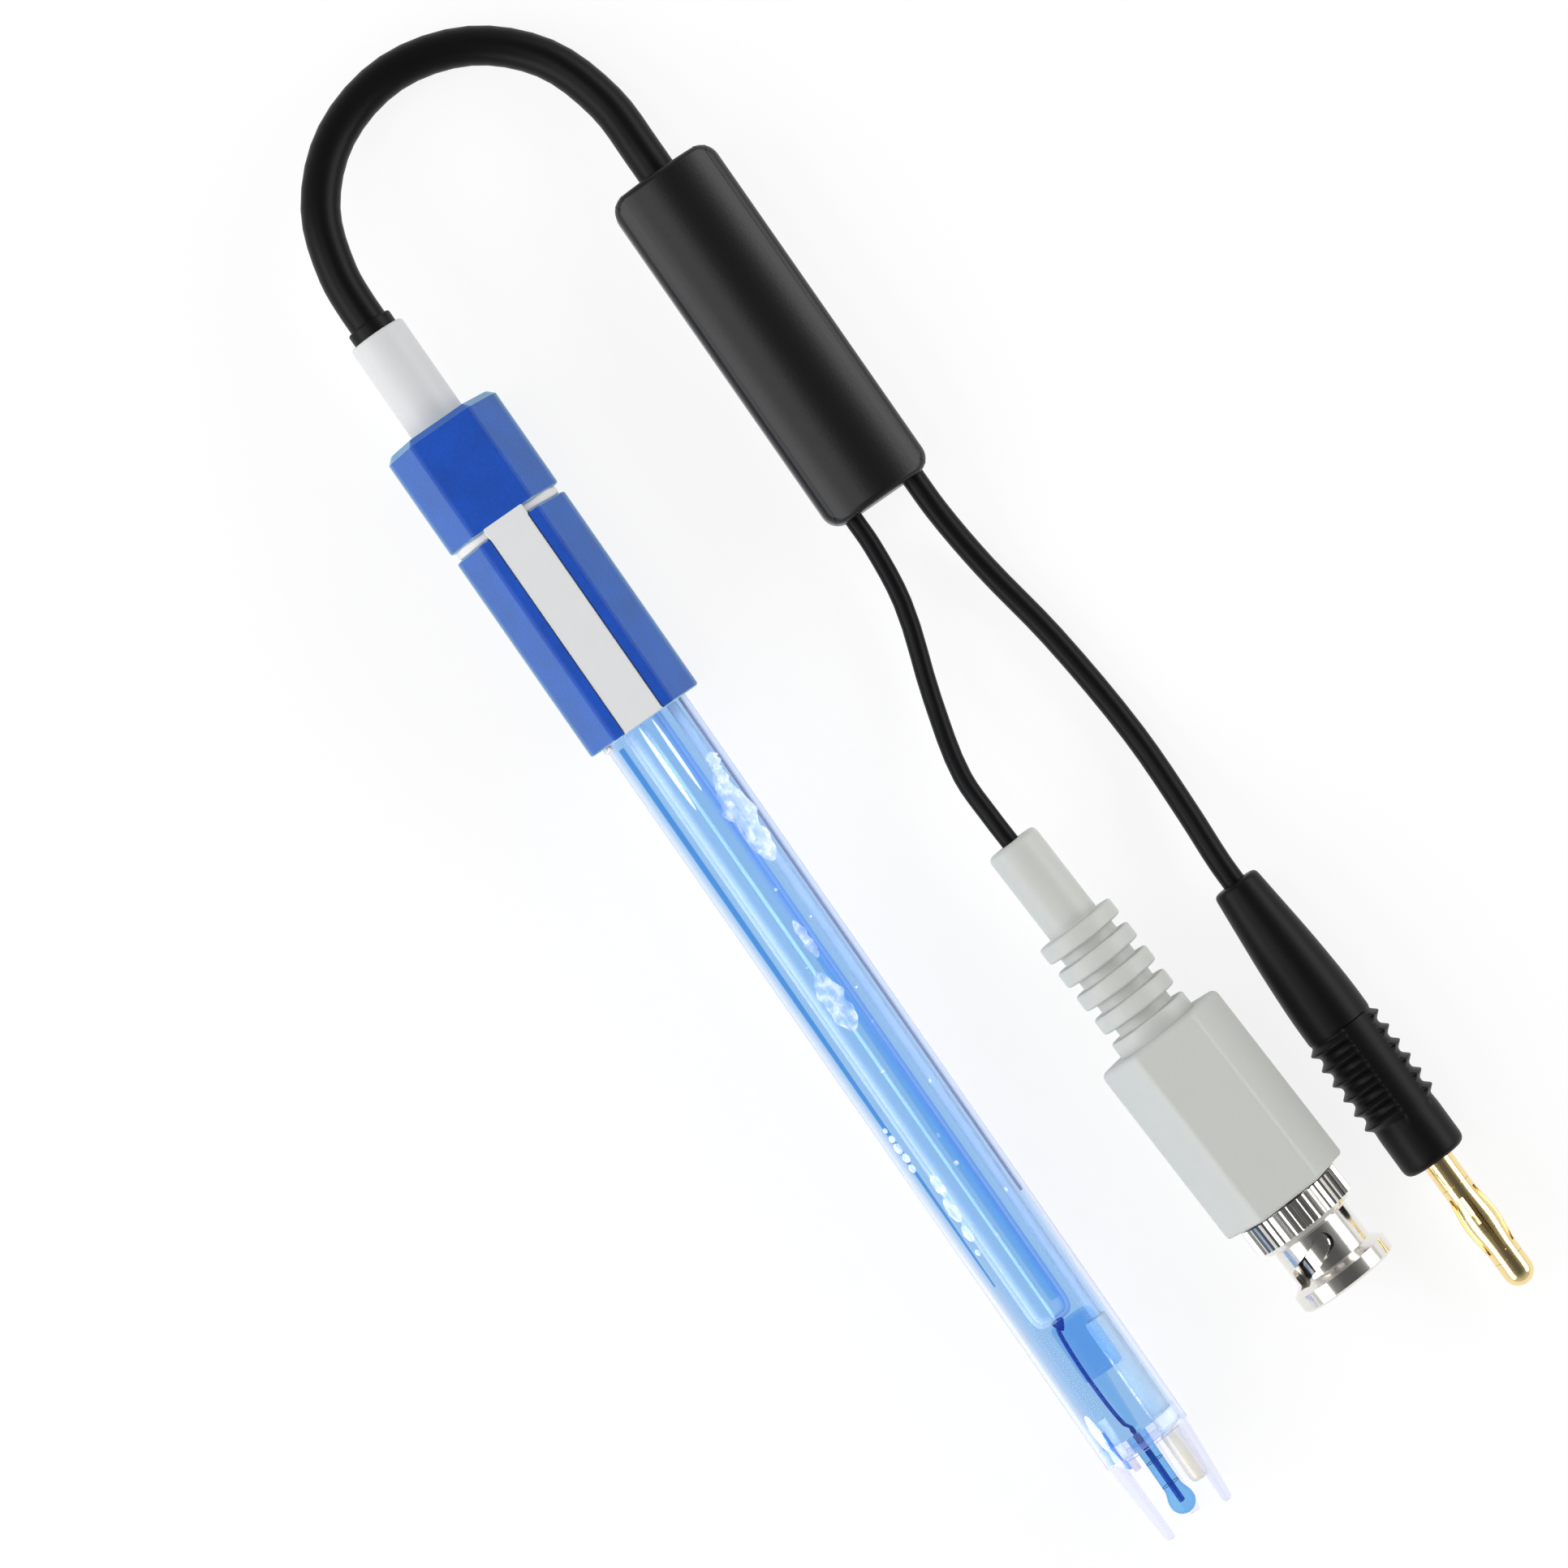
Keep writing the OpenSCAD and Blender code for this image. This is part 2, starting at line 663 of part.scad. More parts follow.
// Knurled coupling nut with two bayonet ramps
module coupling_nut() {
    ridge = 0.25;
    lip_at = nut_at + knurl_len;
    front_at = nut_at + nut_len - 2.6;
    color([0.82, 0.82, 0.82]) place_bnc() difference() {
        union() {
            translate([0, 0, nut_at]) linear_extrude(knurl_len) polygon([
                for (i = [0 : knurl_n - 1]) for (k = [0 : 3])
                    let (a = (i + k / 4) * 360 / knurl_n)
                        (knurl_d / 2 - (k < 2 ? 0 : ridge)) * [cos(a), sin(a)]]);
            rotate_extrude() polygon([
                [0, lip_at - eps], [knurl_d / 2 - 0.5, lip_at - eps], [knurl_d / 2 - 0.8, lip_at + 0.6],
                [barrel_d / 2, lip_at + 1], [barrel_d / 2, front_at - 0.6], [ring_d / 2, front_at + 0.4],
                [ring_d / 2, nut_at + nut_len - 0.3], [ring_d / 2 - 0.3, nut_at + nut_len],
                [0, nut_at + nut_len]]);
        }
        rod(nut_rear_d, nut_at - eps, flange_front + 0.2);
        rod(nut_bore_d, flange_front, nut_at + nut_len + eps);
        rod(clip_d + 0.2, clip_at - clip_play, clip_at + clip_w + clip_play);
        for (half = [0, 180]) rotate([0, 0, half]) {
            translate([0, 0, stud_at]) rotate([0, 90, 0]) cylinder(d = stud_hole_d, h = ring_d, $fn = 32);
            for (i = [1 : ramp_n]) rotate([0, 0, i * ramp_turn / ramp_n])
                translate([0, 0, stud_at + 0.3 + 1.6 * i / ramp_n]) rotate([0, 90, 0])
                    cylinder(d = stud_d, h = barrel_d / 2 + 0.4, $fn = 24);
            rotate([0, 0, ramp_turn]) translate([0, -stud_d / 2, stud_at + 1.9])
                cube([barrel_d / 2 + 0.4, stud_d, nut_len]);
        }
    }
}

// Black rubber boot of the banana plug, with ribs
module banana_boot() {
    top = grip2_small / 2;
    big = grip2_big / 2;
    root = big - 0.2;
    edge = 0.6;
    ribs = [for (i = [0 : rib_n - 1]) let (z = rib_at + i * rib_pitch)
        each [[root, z - 0.8], [rib_d / 2 - 0.1, z - 0.15], [rib_d / 2, z],
            [rib_d / 2 - 0.1, z + 0.15], [root, z + 0.8]]];
    color([0.06, 0.06, 0.07]) place_banana() difference() {
        rotate_extrude() polygon(concat(
            [[0, 0], [top - edge, 0], [top, edge], [big - 0.4, 11], [big, 18], [big, rib_at - 1.2]], ribs,
            [[big - 0.1, rib_at + rib_n * rib_pitch], [big - 0.1, grip2_len - 1.2],
             [big - 0.45, grip2_len - 0.35], [big - 1.2, grip2_len], [0, grip2_len]]));
        rod(lead_d, -eps, cup_at + eps);
        rod(banana_d, cup_at, grip2_len + eps);
    }
}

// Turned pin: solder cup in the boot, shank, waist under the spring, and nose
module banana_pin() {
    waist = banana_d - 1;
    nose_at = spring_at + spring_len;
    end_at = grip2_len + banana_len;
    color([0.88, 0.8, 0.5]) place_banana() difference() {
        union() {
            rod(banana_d, cup_at, spring_at);
            rod(waist, spring_at - eps, nose_at + eps);
            rod(banana_d, nose_at, end_at - banana_d / 2);
            intersection() {
                translate([0, 0, end_at - banana_d / 2]) sphere(d = banana_d);
                rod(banana_d, nose_at, end_at);
            }
        }
        rod(lead_d, cup_at - eps, cup_at + cup_len);
    }
}

// Slit lantern spring that turns on the waist of the pin
module lantern_spring() {
    collar = 1.6;
    inner = banana_d / 2 - 0.5 + spring_fit;
    outer = banana_d / 2;
    bulge = spring_d / 2;
    from = spring_at + 0.05;
    to = spring_at + spring_len - 0.05;
    mid = (from + to) / 2;
    slits = 6;
    color([0.9, 0.82, 0.52]) place_banana() difference() {
        rotate_extrude() polygon([
            [inner, from], [outer, from], [outer, from + collar], [bulge - 0.1, mid - 1.4], [bulge, mid],
            [bulge - 0.1, mid + 1.4], [outer, to - collar], [outer, to], [inner, to], [inner, to - collar],
            [bulge - 0.1 - spring_wall, mid + 1.3], [bulge - spring_wall, mid],
            [bulge - 0.1 - spring_wall, mid - 1.3], [inner, from + collar]]);
        for (i = [0 : slits - 1]) rotate([0, 0, 360 * i / slits])
            translate([0, -0.3, from + 1.2 + (i % 2) * 0.4]) cube([spring_d, 0.6, spring_len - 2.8]);
    }
}

cable_seal();
cable_sleeve();
cap_nut();
head_insert();
head_body();
cable_cores();
potting();
shaft();
inner_tube();
signal_wire();
wire_bead();
reference_wire();
temperature_leads();
reference_gel();
end_disc();
glass_bulb();
buffer_fill();
temperature_finger();
junction_pin();
fill_plug();
main_cable();
splitter_shell();
splitter_base();
wire_splices();
bnc_lead();
banana_lead();
bnc_boot();
crimp_ferrule();
bnc_body();
insulator();
centre_pin();
gasket();
spring_washer();
retaining_ring();
coupling_nut();
banana_boot();
banana_pin();
lantern_spring();
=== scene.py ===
# A laboratory pH electrode with a temperature sensor in it, lying on a pale bench with its cable, a
# splitter and two plugs. Lengths are in millimetres where MM turns them into metres.
import json
import math

import bmesh
import bpy
from mathutils import Matrix, Vector


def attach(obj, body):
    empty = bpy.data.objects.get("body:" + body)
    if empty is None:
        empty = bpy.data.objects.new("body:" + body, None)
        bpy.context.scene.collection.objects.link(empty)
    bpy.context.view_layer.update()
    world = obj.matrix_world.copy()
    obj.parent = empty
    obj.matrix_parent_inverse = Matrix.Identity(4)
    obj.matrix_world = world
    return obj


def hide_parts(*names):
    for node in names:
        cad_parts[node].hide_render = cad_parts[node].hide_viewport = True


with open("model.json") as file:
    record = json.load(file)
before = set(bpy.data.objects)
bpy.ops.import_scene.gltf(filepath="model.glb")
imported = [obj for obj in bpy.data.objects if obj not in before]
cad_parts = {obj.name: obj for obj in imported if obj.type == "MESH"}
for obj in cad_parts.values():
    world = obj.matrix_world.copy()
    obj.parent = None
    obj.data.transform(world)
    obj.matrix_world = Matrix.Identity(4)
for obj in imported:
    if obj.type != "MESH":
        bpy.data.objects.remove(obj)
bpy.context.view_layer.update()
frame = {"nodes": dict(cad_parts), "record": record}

# The camera looks straight down, with the electrode across the picture from upper left to lower right.
# Its long lens gives near parts the slight outward lean that they have at both ends of the shaft.
MM = 0.001
picture_width = 194.2 * MM
middle = Vector((-13.9 * MM, 9.65 * MM, 6 * MM))
camera_height = 760 * MM
right = Vector((0.571, 0.821, 0)).normalized()
up = Vector((-right.y, right.x, 0))
camera = bpy.data.objects.new("camera", bpy.data.cameras.new("camera"))
bpy.context.collection.objects.link(camera)
camera.data.sensor_width = 36
camera.data.lens = 36 * (camera_height - middle.z) / picture_width
camera.data.clip_start = 0.01
camera.matrix_world = Matrix.Translation((middle.x, middle.y, camera_height)) @ Matrix(
    (right, up, Vector((0, 0, 1)))
).transposed().to_4x4()
bpy.context.scene.camera = camera


# Three cords: the cable from the head, and the two leads from the splitter. Each is a copper core in
# an extruded black jacket with a fine matt skin, and lies along the route that its solid has.
cable_d = 5 * MM
coax_d = 2.4 * MM
lead_d = 3 * MM
main_route = [
    (-89, 0, 8.3), (-92, 0, 8.34), (-97, 0.4, 8.2), (-105, 3.2, 7.2), (-111.6, 10, 5.4),
    (-114.3, 20, 3.6), (-111.6, 30, 2.7), (-105, 36.8, 2.7), (-96, 39.8, 3.6), (-88, 40, 4.9),
    (-84, 40, 5), (-74, 40, 5),
]
coax_route = [
    (-48, 35.5, 5), (-36, 35.5, 5), (-32, 35.5, 4.9), (-24, 34.6, 4), (-12, 30.8, 3.8), (-2, 28.3, 6.2),
    (4, 28.3, 7.7), (8, 28.5, 7.8), (54.4, 30.93, 7.8),
]
lead_route = [
    (-48, 44.5, 5), (-36, 44.5, 5), (-31, 44.6, 4.6), (-22, 45.6, 2.2), (-10, 47.6, 1.7), (6, 49, 1.9),
    (18, 48.8, 3.8), (25, 48.45, 5.1), (28, 48.5, 5.2), (63, 49.36, 5.2),
]


def on_route(route, steps=4):
    """Points of the smooth curve through a route, whose first and last stretches are straight."""
    points = [Vector(p) * MM for p in route]
    line = [points[0]]
    for a, b, c, d in zip(points, points[1:], points[2:], points[3:]):
        span = (c - b).length
        start = c - b + (b - a).normalized() * span
        finish = c - b + (d - c).normalized() * span
        for k in range(steps):
            t = k / steps
            line.append(
                b + t * start / 2 + t**2 * (3 * (c - b) - start - finish / 2)
                + t**3 * (start / 2 + finish / 2 - 2 * (c - b))
            )
    return line + points[-2:]


def cord_along(name, route, diameter):
    """A cord of one diameter along a route, and its length."""
    line = on_route(route)
    curve = bpy.data.curves.new(name, "CURVE")
    curve.dimensions = "3D"
    curve.bevel_depth = diameter / 2
    curve.bevel_resolution = 8
    curve.use_fill_caps = True
    spline = curve.splines.new("POLY")
    spline.points.add(len(line) - 1)
    for point, place in zip(spline.points, line):
        point.co = (*place, 1)
    spline.use_smooth = True
    cord = bpy.data.objects.new(name, curve)
    bpy.context.collection.objects.link(cord)
    length = sum((q - p).length for p, q in zip(line, line[1:]))
    return cord, length


def fine_grain_group():
    """Moulded grain: a height for a Bump node and a small swing of shade, from two sizes of noise."""
    group = bpy.data.node_groups.new("fine_grain", "ShaderNodeTree")
    for name, value in (("Grain size", 3000.0), ("Blotch size", 300.0), ("Swing", 0.06)):
        socket = group.interface.new_socket(name, in_out="INPUT", socket_type="NodeSocketFloat")
        socket.default_value = value
    group.interface.new_socket("Shade", in_out="INPUT", socket_type="NodeSocketColor")
    group.interface.new_socket("Color", in_out="OUTPUT", socket_type="NodeSocketColor")
    group.interface.new_socket("Height", in_out="OUTPUT", socket_type="NodeSocketFloat")
    link = group.links.new
    given = group.nodes.new("NodeGroupInput")
    result = group.nodes.new("NodeGroupOutput")
    place = group.nodes.new("ShaderNodeTexCoord")
    grain = group.nodes.new("ShaderNodeTexNoise")
    grain.inputs["Detail"].default_value = 3
    blotch = group.nodes.new("ShaderNodeTexNoise")
    blotch.inputs["Detail"].default_value = 2
    for noise, size in ((grain, "Grain size"), (blotch, "Blotch size")):
        link(place.outputs["Object"], noise.inputs["Vector"])
        link(given.outputs[size], noise.inputs["Scale"])
    both = group.nodes.new("ShaderNodeMath")
    both.operation = "ADD"
    link(grain.outputs["Fac"], both.inputs[0])
    link(blotch.outputs["Fac"], both.inputs[1])
    swing = group.nodes.new("ShaderNodeMath")
    swing.operation = "MULTIPLY_ADD"
    link(both.outputs[0], swing.inputs[0])
    link(given.outputs["Swing"], swing.inputs[1])
    offset = group.nodes.new("ShaderNodeMath")
    offset.operation = "SUBTRACT"
    offset.inputs[0].default_value = 1
    link(given.outputs["Swing"], offset.inputs[1])
    link(offset.outputs[0], swing.inputs[2])
    shade = group.nodes.new("ShaderNodeVectorMath")
    shade.operation = "SCALE"
    link(given.outputs["Shade"], shade.inputs[0])
    link(swing.outputs[0], shade.inputs["Scale"])
    link(shade.outputs[0], result.inputs["Color"])
    link(grain.outputs["Fac"], result.inputs["Height"])
    return group


grain_group = fine_grain_group()


def moulded(
    name, colour, roughness, grain=3000.0, blotch=300.0, swing=0.06, bump=0.15, depth=0.00002, **extra
):
    """An opaque moulded or extruded finish with its own grain."""
    material = bpy.data.materials.new(name)
    material.use_nodes = True
    tree = material.node_tree
    surface = tree.nodes["Principled BSDF"]
    surface.inputs["Roughness"].default_value = roughness
    for key, value in extra.items():
        surface.inputs[key.replace("_", " ").title().replace("Ior", "IOR")].default_value = value
    texture = tree.nodes.new("ShaderNodeGroup")
    texture.node_tree = grain_group
    texture.inputs["Grain size"].default_value = grain
    texture.inputs["Blotch size"].default_value = blotch
    texture.inputs["Swing"].default_value = swing
    texture.inputs["Shade"].default_value = (*colour, 1)
    relief = tree.nodes.new("ShaderNodeBump")
    relief.inputs["Strength"].default_value = bump
    relief.inputs["Distance"].default_value = depth
    tree.links.new(texture.outputs["Color"], surface.inputs["Base Color"])
    tree.links.new(texture.outputs["Height"], relief.inputs["Height"])
    tree.links.new(relief.outputs["Normal"], surface.inputs["Normal"])
    return material


jacket = moulded(
    "cable_jacket", (0.0025, 0.0025, 0.003), 0.4, grain=2600, blotch=160, swing=0.25, bump=0.25,
    Specular_IOR_Level=0.12,
)
main_cable, main_length = cord_along("cable", main_route, cable_d)
coax, coax_length = cord_along("coax_lead", coax_route, coax_d)
lead, lead_length = cord_along("sensor_lead", lead_route, lead_d)
for cord, node in ((main_cable, "main_cable"), (coax, "bnc_lead"), (lead, "banana_lead")):
    cord.data.materials.append(jacket)
    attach(cord, "probe")
    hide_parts(node)


# The seal is a black rubber ring squeezed round the cable in the mouth of the sleeve. The sleeve is a
# white polypropylene tube, blunt at its edge, that the cap nut holds by a collar inside. Both are round:
# half a section is spun round the axis, and laid in its place by the frame's mount on the shaft.
seal_d = 6
seal_inside = 12
sleeve_d = 7.5
sleeve_at = 1.7
cap_at = 15.2
collar_r = 6.2
collar_at = 17.4
neck_at = 20
tube_middle = 114.7


def place_of(mount, station):
    """Local +Z runs along the mount's axis and local +X points down. Station is the mount's own."""
    facts = next(m for m in frame["record"]["mounts"] if m["name"] == mount)
    along = Vector(facts["axis"]).normalized()
    across = Vector((0, 0, 1)).cross(along).normalized()
    turn = Matrix((across.cross(along), across, along)).transposed().to_4x4()
    return Matrix.Translation(Vector(facts["pos_m"]) - along * station * MM) @ turn


def eased(outline, steps=5):
    """Corners given as (x, y, radius) become short curves of that reach; others stay sharp."""
    points = []
    for i, corner in enumerate(outline):
        here = Vector(corner[:2])
        reach = corner[2] if len(corner) > 2 else 0
        if not reach:
            points.append(here)
            continue
        before = Vector(outline[i - 1][:2]) - here
        after = Vector(outline[(i + 1) % len(outline)][:2]) - here
        first = here + before.normalized() * min(reach, before.length * 0.49)
        last = here + after.normalized() * min(reach, after.length * 0.49)
        for k in range(steps + 1):
            t = k / steps
            points.append(first * (1 - t) ** 2 + here * 2 * t * (1 - t) + last * t**2)
    return points


def add_mesh(name, bm, place, material, body):
    """Puts a bmesh in its place, with normals outwards and weighted by the size of its faces."""
    bmesh.ops.remove_doubles(bm, verts=bm.verts, dist=2e-7)
    bmesh.ops.dissolve_degenerate(bm, dist=1e-7, edges=bm.edges)
    bmesh.ops.recalc_face_normals(bm, faces=bm.faces)
    bmesh.ops.transform(bm, matrix=place, verts=bm.verts)
    for face in bm.faces:
        face.smooth = True
    mesh = bpy.data.meshes.new(name)
    bm.to_mesh(mesh)
    bm.free()
    piece = bpy.data.objects.new(name, mesh)
    bpy.context.collection.objects.link(piece)
    mesh.materials.append(material)
    mesh.set_sharp_from_angle(angle=math.radians(40))
    weights = piece.modifiers.new("weights", "WEIGHTED_NORMAL")
    weights.keep_sharp = True
    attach(piece, body)
    return piece


def spun(outline, steps=96, closed=True):
    """Half a section of (radius, station) in millimetres, spun once round."""
    bm = bmesh.new()
    points = eased(outline)
    verts = [bm.verts.new((p.x * MM, 0, p.y * MM)) for p in points]
    edges = [bm.edges.new(pair) for pair in zip(verts, verts[1:])]
    if closed:
        edges.append(bm.edges.new((verts[-1], verts[0])))
    bmesh.ops.spin(
        bm, geom=verts + edges, cent=(0, 0, 0), axis=(0, 0, 1), angle=math.tau, steps=steps,
        use_merge=True,
    )
    return bm


def turned(name, outline, place, material, body="probe", steps=96, closed=True):
    """A round piece from half its section."""
    return add_mesh(name, spun(outline, steps, closed), place, material, body)


electrode = place_of("shaft", tube_middle)
rubber = moulded(
    "black_rubber", (0.0028, 0.0028, 0.0032), 0.42, grain=2400, blotch=200, swing=0.2, bump=0.3,
    Specular_IOR_Level=0.13,
)
cable_r = cable_d / MM / 2
seal = turned(
    "cable_seal_ring",
    [(cable_r, seal_inside), (cable_r, 0, 0.15), (seal_d / 2, 0, 0.35), (seal_d / 2, seal_inside)],
    electrode, rubber,
)
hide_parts("cable_seal")
tube_white = moulded(
    "sleeve_white", (0.55, 0.555, 0.56), 0.5, grain=1500, blotch=220, swing=0.03, bump=0.06
)
white = moulded(
    "white_moulding", (0.61, 0.615, 0.62), 0.5, grain=1500, blotch=220, swing=0.03, bump=0.06,
    Specular_IOR_Level=0.4,
)
sleeve = turned(
    "sleeve_tube",
    [(seal_d / 2, seal_inside), (seal_d / 2, sleeve_at, 0.2), (sleeve_d / 2, sleeve_at, 0.45),
     (sleeve_d / 2, collar_at), (collar_r, collar_at), (collar_r, neck_at), (cable_r, neck_at),
     (cable_r, seal_inside)],
    electrode, tube_white,
)
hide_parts("cable_sleeve")


# The head is two blue mouldings of one hexagonal section, whose side corners are eased to 16 mm: a cap
# nut with a chamfer at the cable end, and a body with a window down its top for the white stripe.
head_af = 15
side_round = 4.2
edge_round = 0.8
cap_chamfer = 1.1
stripe_w = 5.7
window_gap = 0.12
window_floor_r = 6.5
flange_at = 29.5
body_at = 30.7
shaft_at = 59.8
blue = moulded(
    "blue_moulding", (0.001, 0.049, 0.36), 0.42, grain=2600, blotch=240, swing=0.5, bump=0.5,
    depth=0.00004, Specular_IOR_Level=0.15, Sheen_Weight=1.0, Sheen_Roughness=0.46,
    Sheen_Tint=(0.62, 1, 0.88, 1),
)


def hexagon(af, soft, softer, notch=0.0):
    """Points of a hexagon with flats up and down, with a notch of that width in the upper flat."""
    points = []
    for k in range(6):
        corner = math.radians(30 + 60 * k)
        r = softer if k % 3 == 1 else soft
        d = af / math.sqrt(3) - r / math.cos(math.radians(30))
        for s in range(-30, 31, 6):
            a = corner + math.radians(s)
            points.append(
                (d * math.cos(corner) + r * math.cos(a), d * math.sin(corner) + r * math.sin(a))
            )
        if notch and k == 2:
            floor = -math.sqrt(window_floor_r**2 - (notch / 2) ** 2)
            points += [
                (-af / 2, notch / 2), (floor, notch / 2), (floor, -notch / 2), (-af / 2, -notch / 2),
            ]
    return points


def prism(outline, bottom, top):
    """The outline, in millimetres, drawn out between two stations."""
    bm = bmesh.new()
    base = bm.faces.new([bm.verts.new((x * MM, y * MM, bottom * MM)) for x, y in outline])
    grown = bmesh.ops.extrude_face_region(bm, geom=[base])
    upper = [v for v in grown["geom"] if isinstance(v, bmesh.types.BMVert)]
    bmesh.ops.translate(bm, verts=upper, vec=(0, 0, (top - bottom) * MM))
    return bm


def ease_end(bm, station, reach, segments=3):
    """Bevels the edges that lie at one station."""
    rim = [e for e in bm.edges if all(abs(v.co.z - station * MM) < 1e-7 for v in e.verts)]
    bmesh.ops.bevel(
        bm, geom=rim, offset=reach * MM, offset_type="OFFSET", affect="EDGES", segments=segments,
        profile=0.5, material=-1, clamp_overlap=True,
    )


cap = prism(hexagon(head_af, edge_round, side_round), cap_at, flange_at)
ease_end(cap, cap_at, cap_chamfer, 1)
ease_end(cap, flange_at, 0.35)
cap = add_mesh("cap_moulding", cap, electrode, blue, "probe")
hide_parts("cap_nut")
body = prism(hexagon(head_af, edge_round, side_round, stripe_w + window_gap), body_at, shaft_at)
ease_end(body, body_at, 0.3)
ease_end(body, shaft_at, 0.35)
body = add_mesh("body_moulding", body, electrode, blue, "probe")
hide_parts("head_body")


# The insert is moulded in white in one shot: a flange that shows in the gap between nut and body, and
# a stripe that lies in the body's window, nearly flush, with a plain face.
flange_d = 14.8
flange_inner_r = 6.4
flange_step_r = 6.6
stripe_top = -head_af / 2 + 0.08
stripe_floor = -5.8


def joined(bm, other):
    """Adds another bmesh to the first."""
    mesh = bpy.data.meshes.new("joined")
    other.to_mesh(mesh)
    other.free()
    bm.from_mesh(mesh)
    bpy.data.meshes.remove(mesh)


insert = spun([
    (flange_inner_r, flange_at - 0.8), (flange_inner_r, body_at + 0.05),
    (flange_d / 2, body_at - 0.05, 0.4), (flange_d / 2, flange_at + 0.05, 0.4),
    (flange_step_r, flange_at - 0.2), (flange_step_r, flange_at - 0.8),
])
stripe = prism(
    [(stripe_top, -stripe_w / 2), (stripe_top, stripe_w / 2), (stripe_floor, stripe_w / 2),
     (stripe_floor, -stripe_w / 2)],
    flange_at - 0.6, shaft_at - 0.02,
)
long_edges = [e for e in stripe.edges if all(v.co.x < -7 * MM for v in e.verts)]
bmesh.ops.bevel(
    stripe, geom=long_edges, offset=0.18 * MM, offset_type="OFFSET", affect="EDGES", segments=3,
    profile=0.5, material=-1,
)
joined(insert, stripe)
insert = add_mesh("head_insert_moulding", insert, electrode, white, "probe")
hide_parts("head_insert")


# The shaft is clear polysulfone, moulded in one with its crown of three prongs that lean in at their
# tips. Polished outside and wetted by the gel inside, it has no visible inner wall, so it is drawn as
# one clear body round its filling.
shaft_d = 12
bore_d = 10
tube_end = 168.6
tip_at = 179.8
prong_w = 2.3
prong_lean = 0.7
root = 1


def clear(name, colour, roughness, ior, bump=0.0, size=60.0):
    """A clear solid that tints what is seen through it, and lets the lamps light what is in it."""
    material = bpy.data.materials.new(name)
    material.use_nodes = True
    tree = material.node_tree
    surface = tree.nodes["Principled BSDF"]
    surface.inputs["Base Color"].default_value = (*colour, 1)
    surface.inputs["Roughness"].default_value = roughness
    surface.inputs["IOR"].default_value = ior
    surface.inputs["Transmission Weight"].default_value = 1
    open_way = tree.nodes.new("ShaderNodeBsdfTransparent")
    open_way.inputs["Color"].default_value = (*colour, 1)
    rays = tree.nodes.new("ShaderNodeLightPath")
    either = tree.nodes.new("ShaderNodeMixShader")
    tree.links.new(rays.outputs["Is Shadow Ray"], either.inputs["Fac"])
    tree.links.new(surface.outputs[0], either.inputs[1])
    tree.links.new(open_way.outputs[0], either.inputs[2])
    tree.links.new(either.outputs[0], tree.nodes["Material Output"].inputs["Surface"])
    if bump:
        place = tree.nodes.new("ShaderNodeTexCoord")
        stretch = tree.nodes.new("ShaderNodeMapping")
        stretch.inputs["Scale"].default_value = (0.12, 1, 1)
        noise = tree.nodes.new("ShaderNodeTexNoise")
        noise.inputs["Scale"].default_value = size
        relief = tree.nodes.new("ShaderNodeBump")
        relief.inputs["Strength"].default_value = bump
        relief.inputs["Distance"].default_value = 0.0002
        tree.links.new(place.outputs["Object"], stretch.inputs["Vector"])
        tree.links.new(stretch.outputs["Vector"], noise.inputs["Vector"])
        tree.links.new(noise.outputs["Fac"], relief.inputs["Height"])
        tree.links.new(relief.outputs["Normal"], surface.inputs["Normal"])
    return material


def rimmed(material, colour, least, most, start=0.1, end=1.0, outline=None):
    """Mixes an opaque pale finish into a clear material where it is seen along its surface."""
    tree = material.node_tree
    shown = tree.nodes["Material Output"].inputs["Surface"]
    inside = shown.links[0].from_socket
    veil = tree.nodes.new("ShaderNodeBsdfPrincipled")
    veil.inputs["Base Color"].default_value = (*colour, 1)
    if outline:
        skin = tree.nodes.new("ShaderNodeLayerWeight")
        skin.inputs["Blend"].default_value = 0.5
        line = tree.nodes.new("ShaderNodeValToRGB")
        line.color_ramp.elements[0].position = 0.72
        line.color_ramp.elements[0].color = (*colour, 1)
        line.color_ramp.elements[1].position = 0.84
        line.color_ramp.elements[1].color = (*outline, 1)
        tree.links.new(skin.outputs["Facing"], line.inputs["Fac"])
        tree.links.new(line.outputs["Color"], veil.inputs["Base Color"])
    veil.inputs["Roughness"].default_value = 0.12
    edge = tree.nodes.new("ShaderNodeLayerWeight")
    edge.inputs["Blend"].default_value = 0.5
    share = tree.nodes.new("ShaderNodeMapRange")
    share.inputs["From Min"].default_value = start
    share.inputs["From Max"].default_value = end
    share.inputs["To Min"].default_value = least
    share.inputs["To Max"].default_value = most
    both = tree.nodes.new("ShaderNodeMixShader")
    tree.links.new(edge.outputs["Facing"], share.inputs["Value"])
    tree.links.new(share.outputs[0], both.inputs["Fac"])
    tree.links.new(inside, both.inputs[1])
    tree.links.new(veil.outputs[0], both.inputs[2])
    tree.links.new(both.outputs[0], shown)
    return material


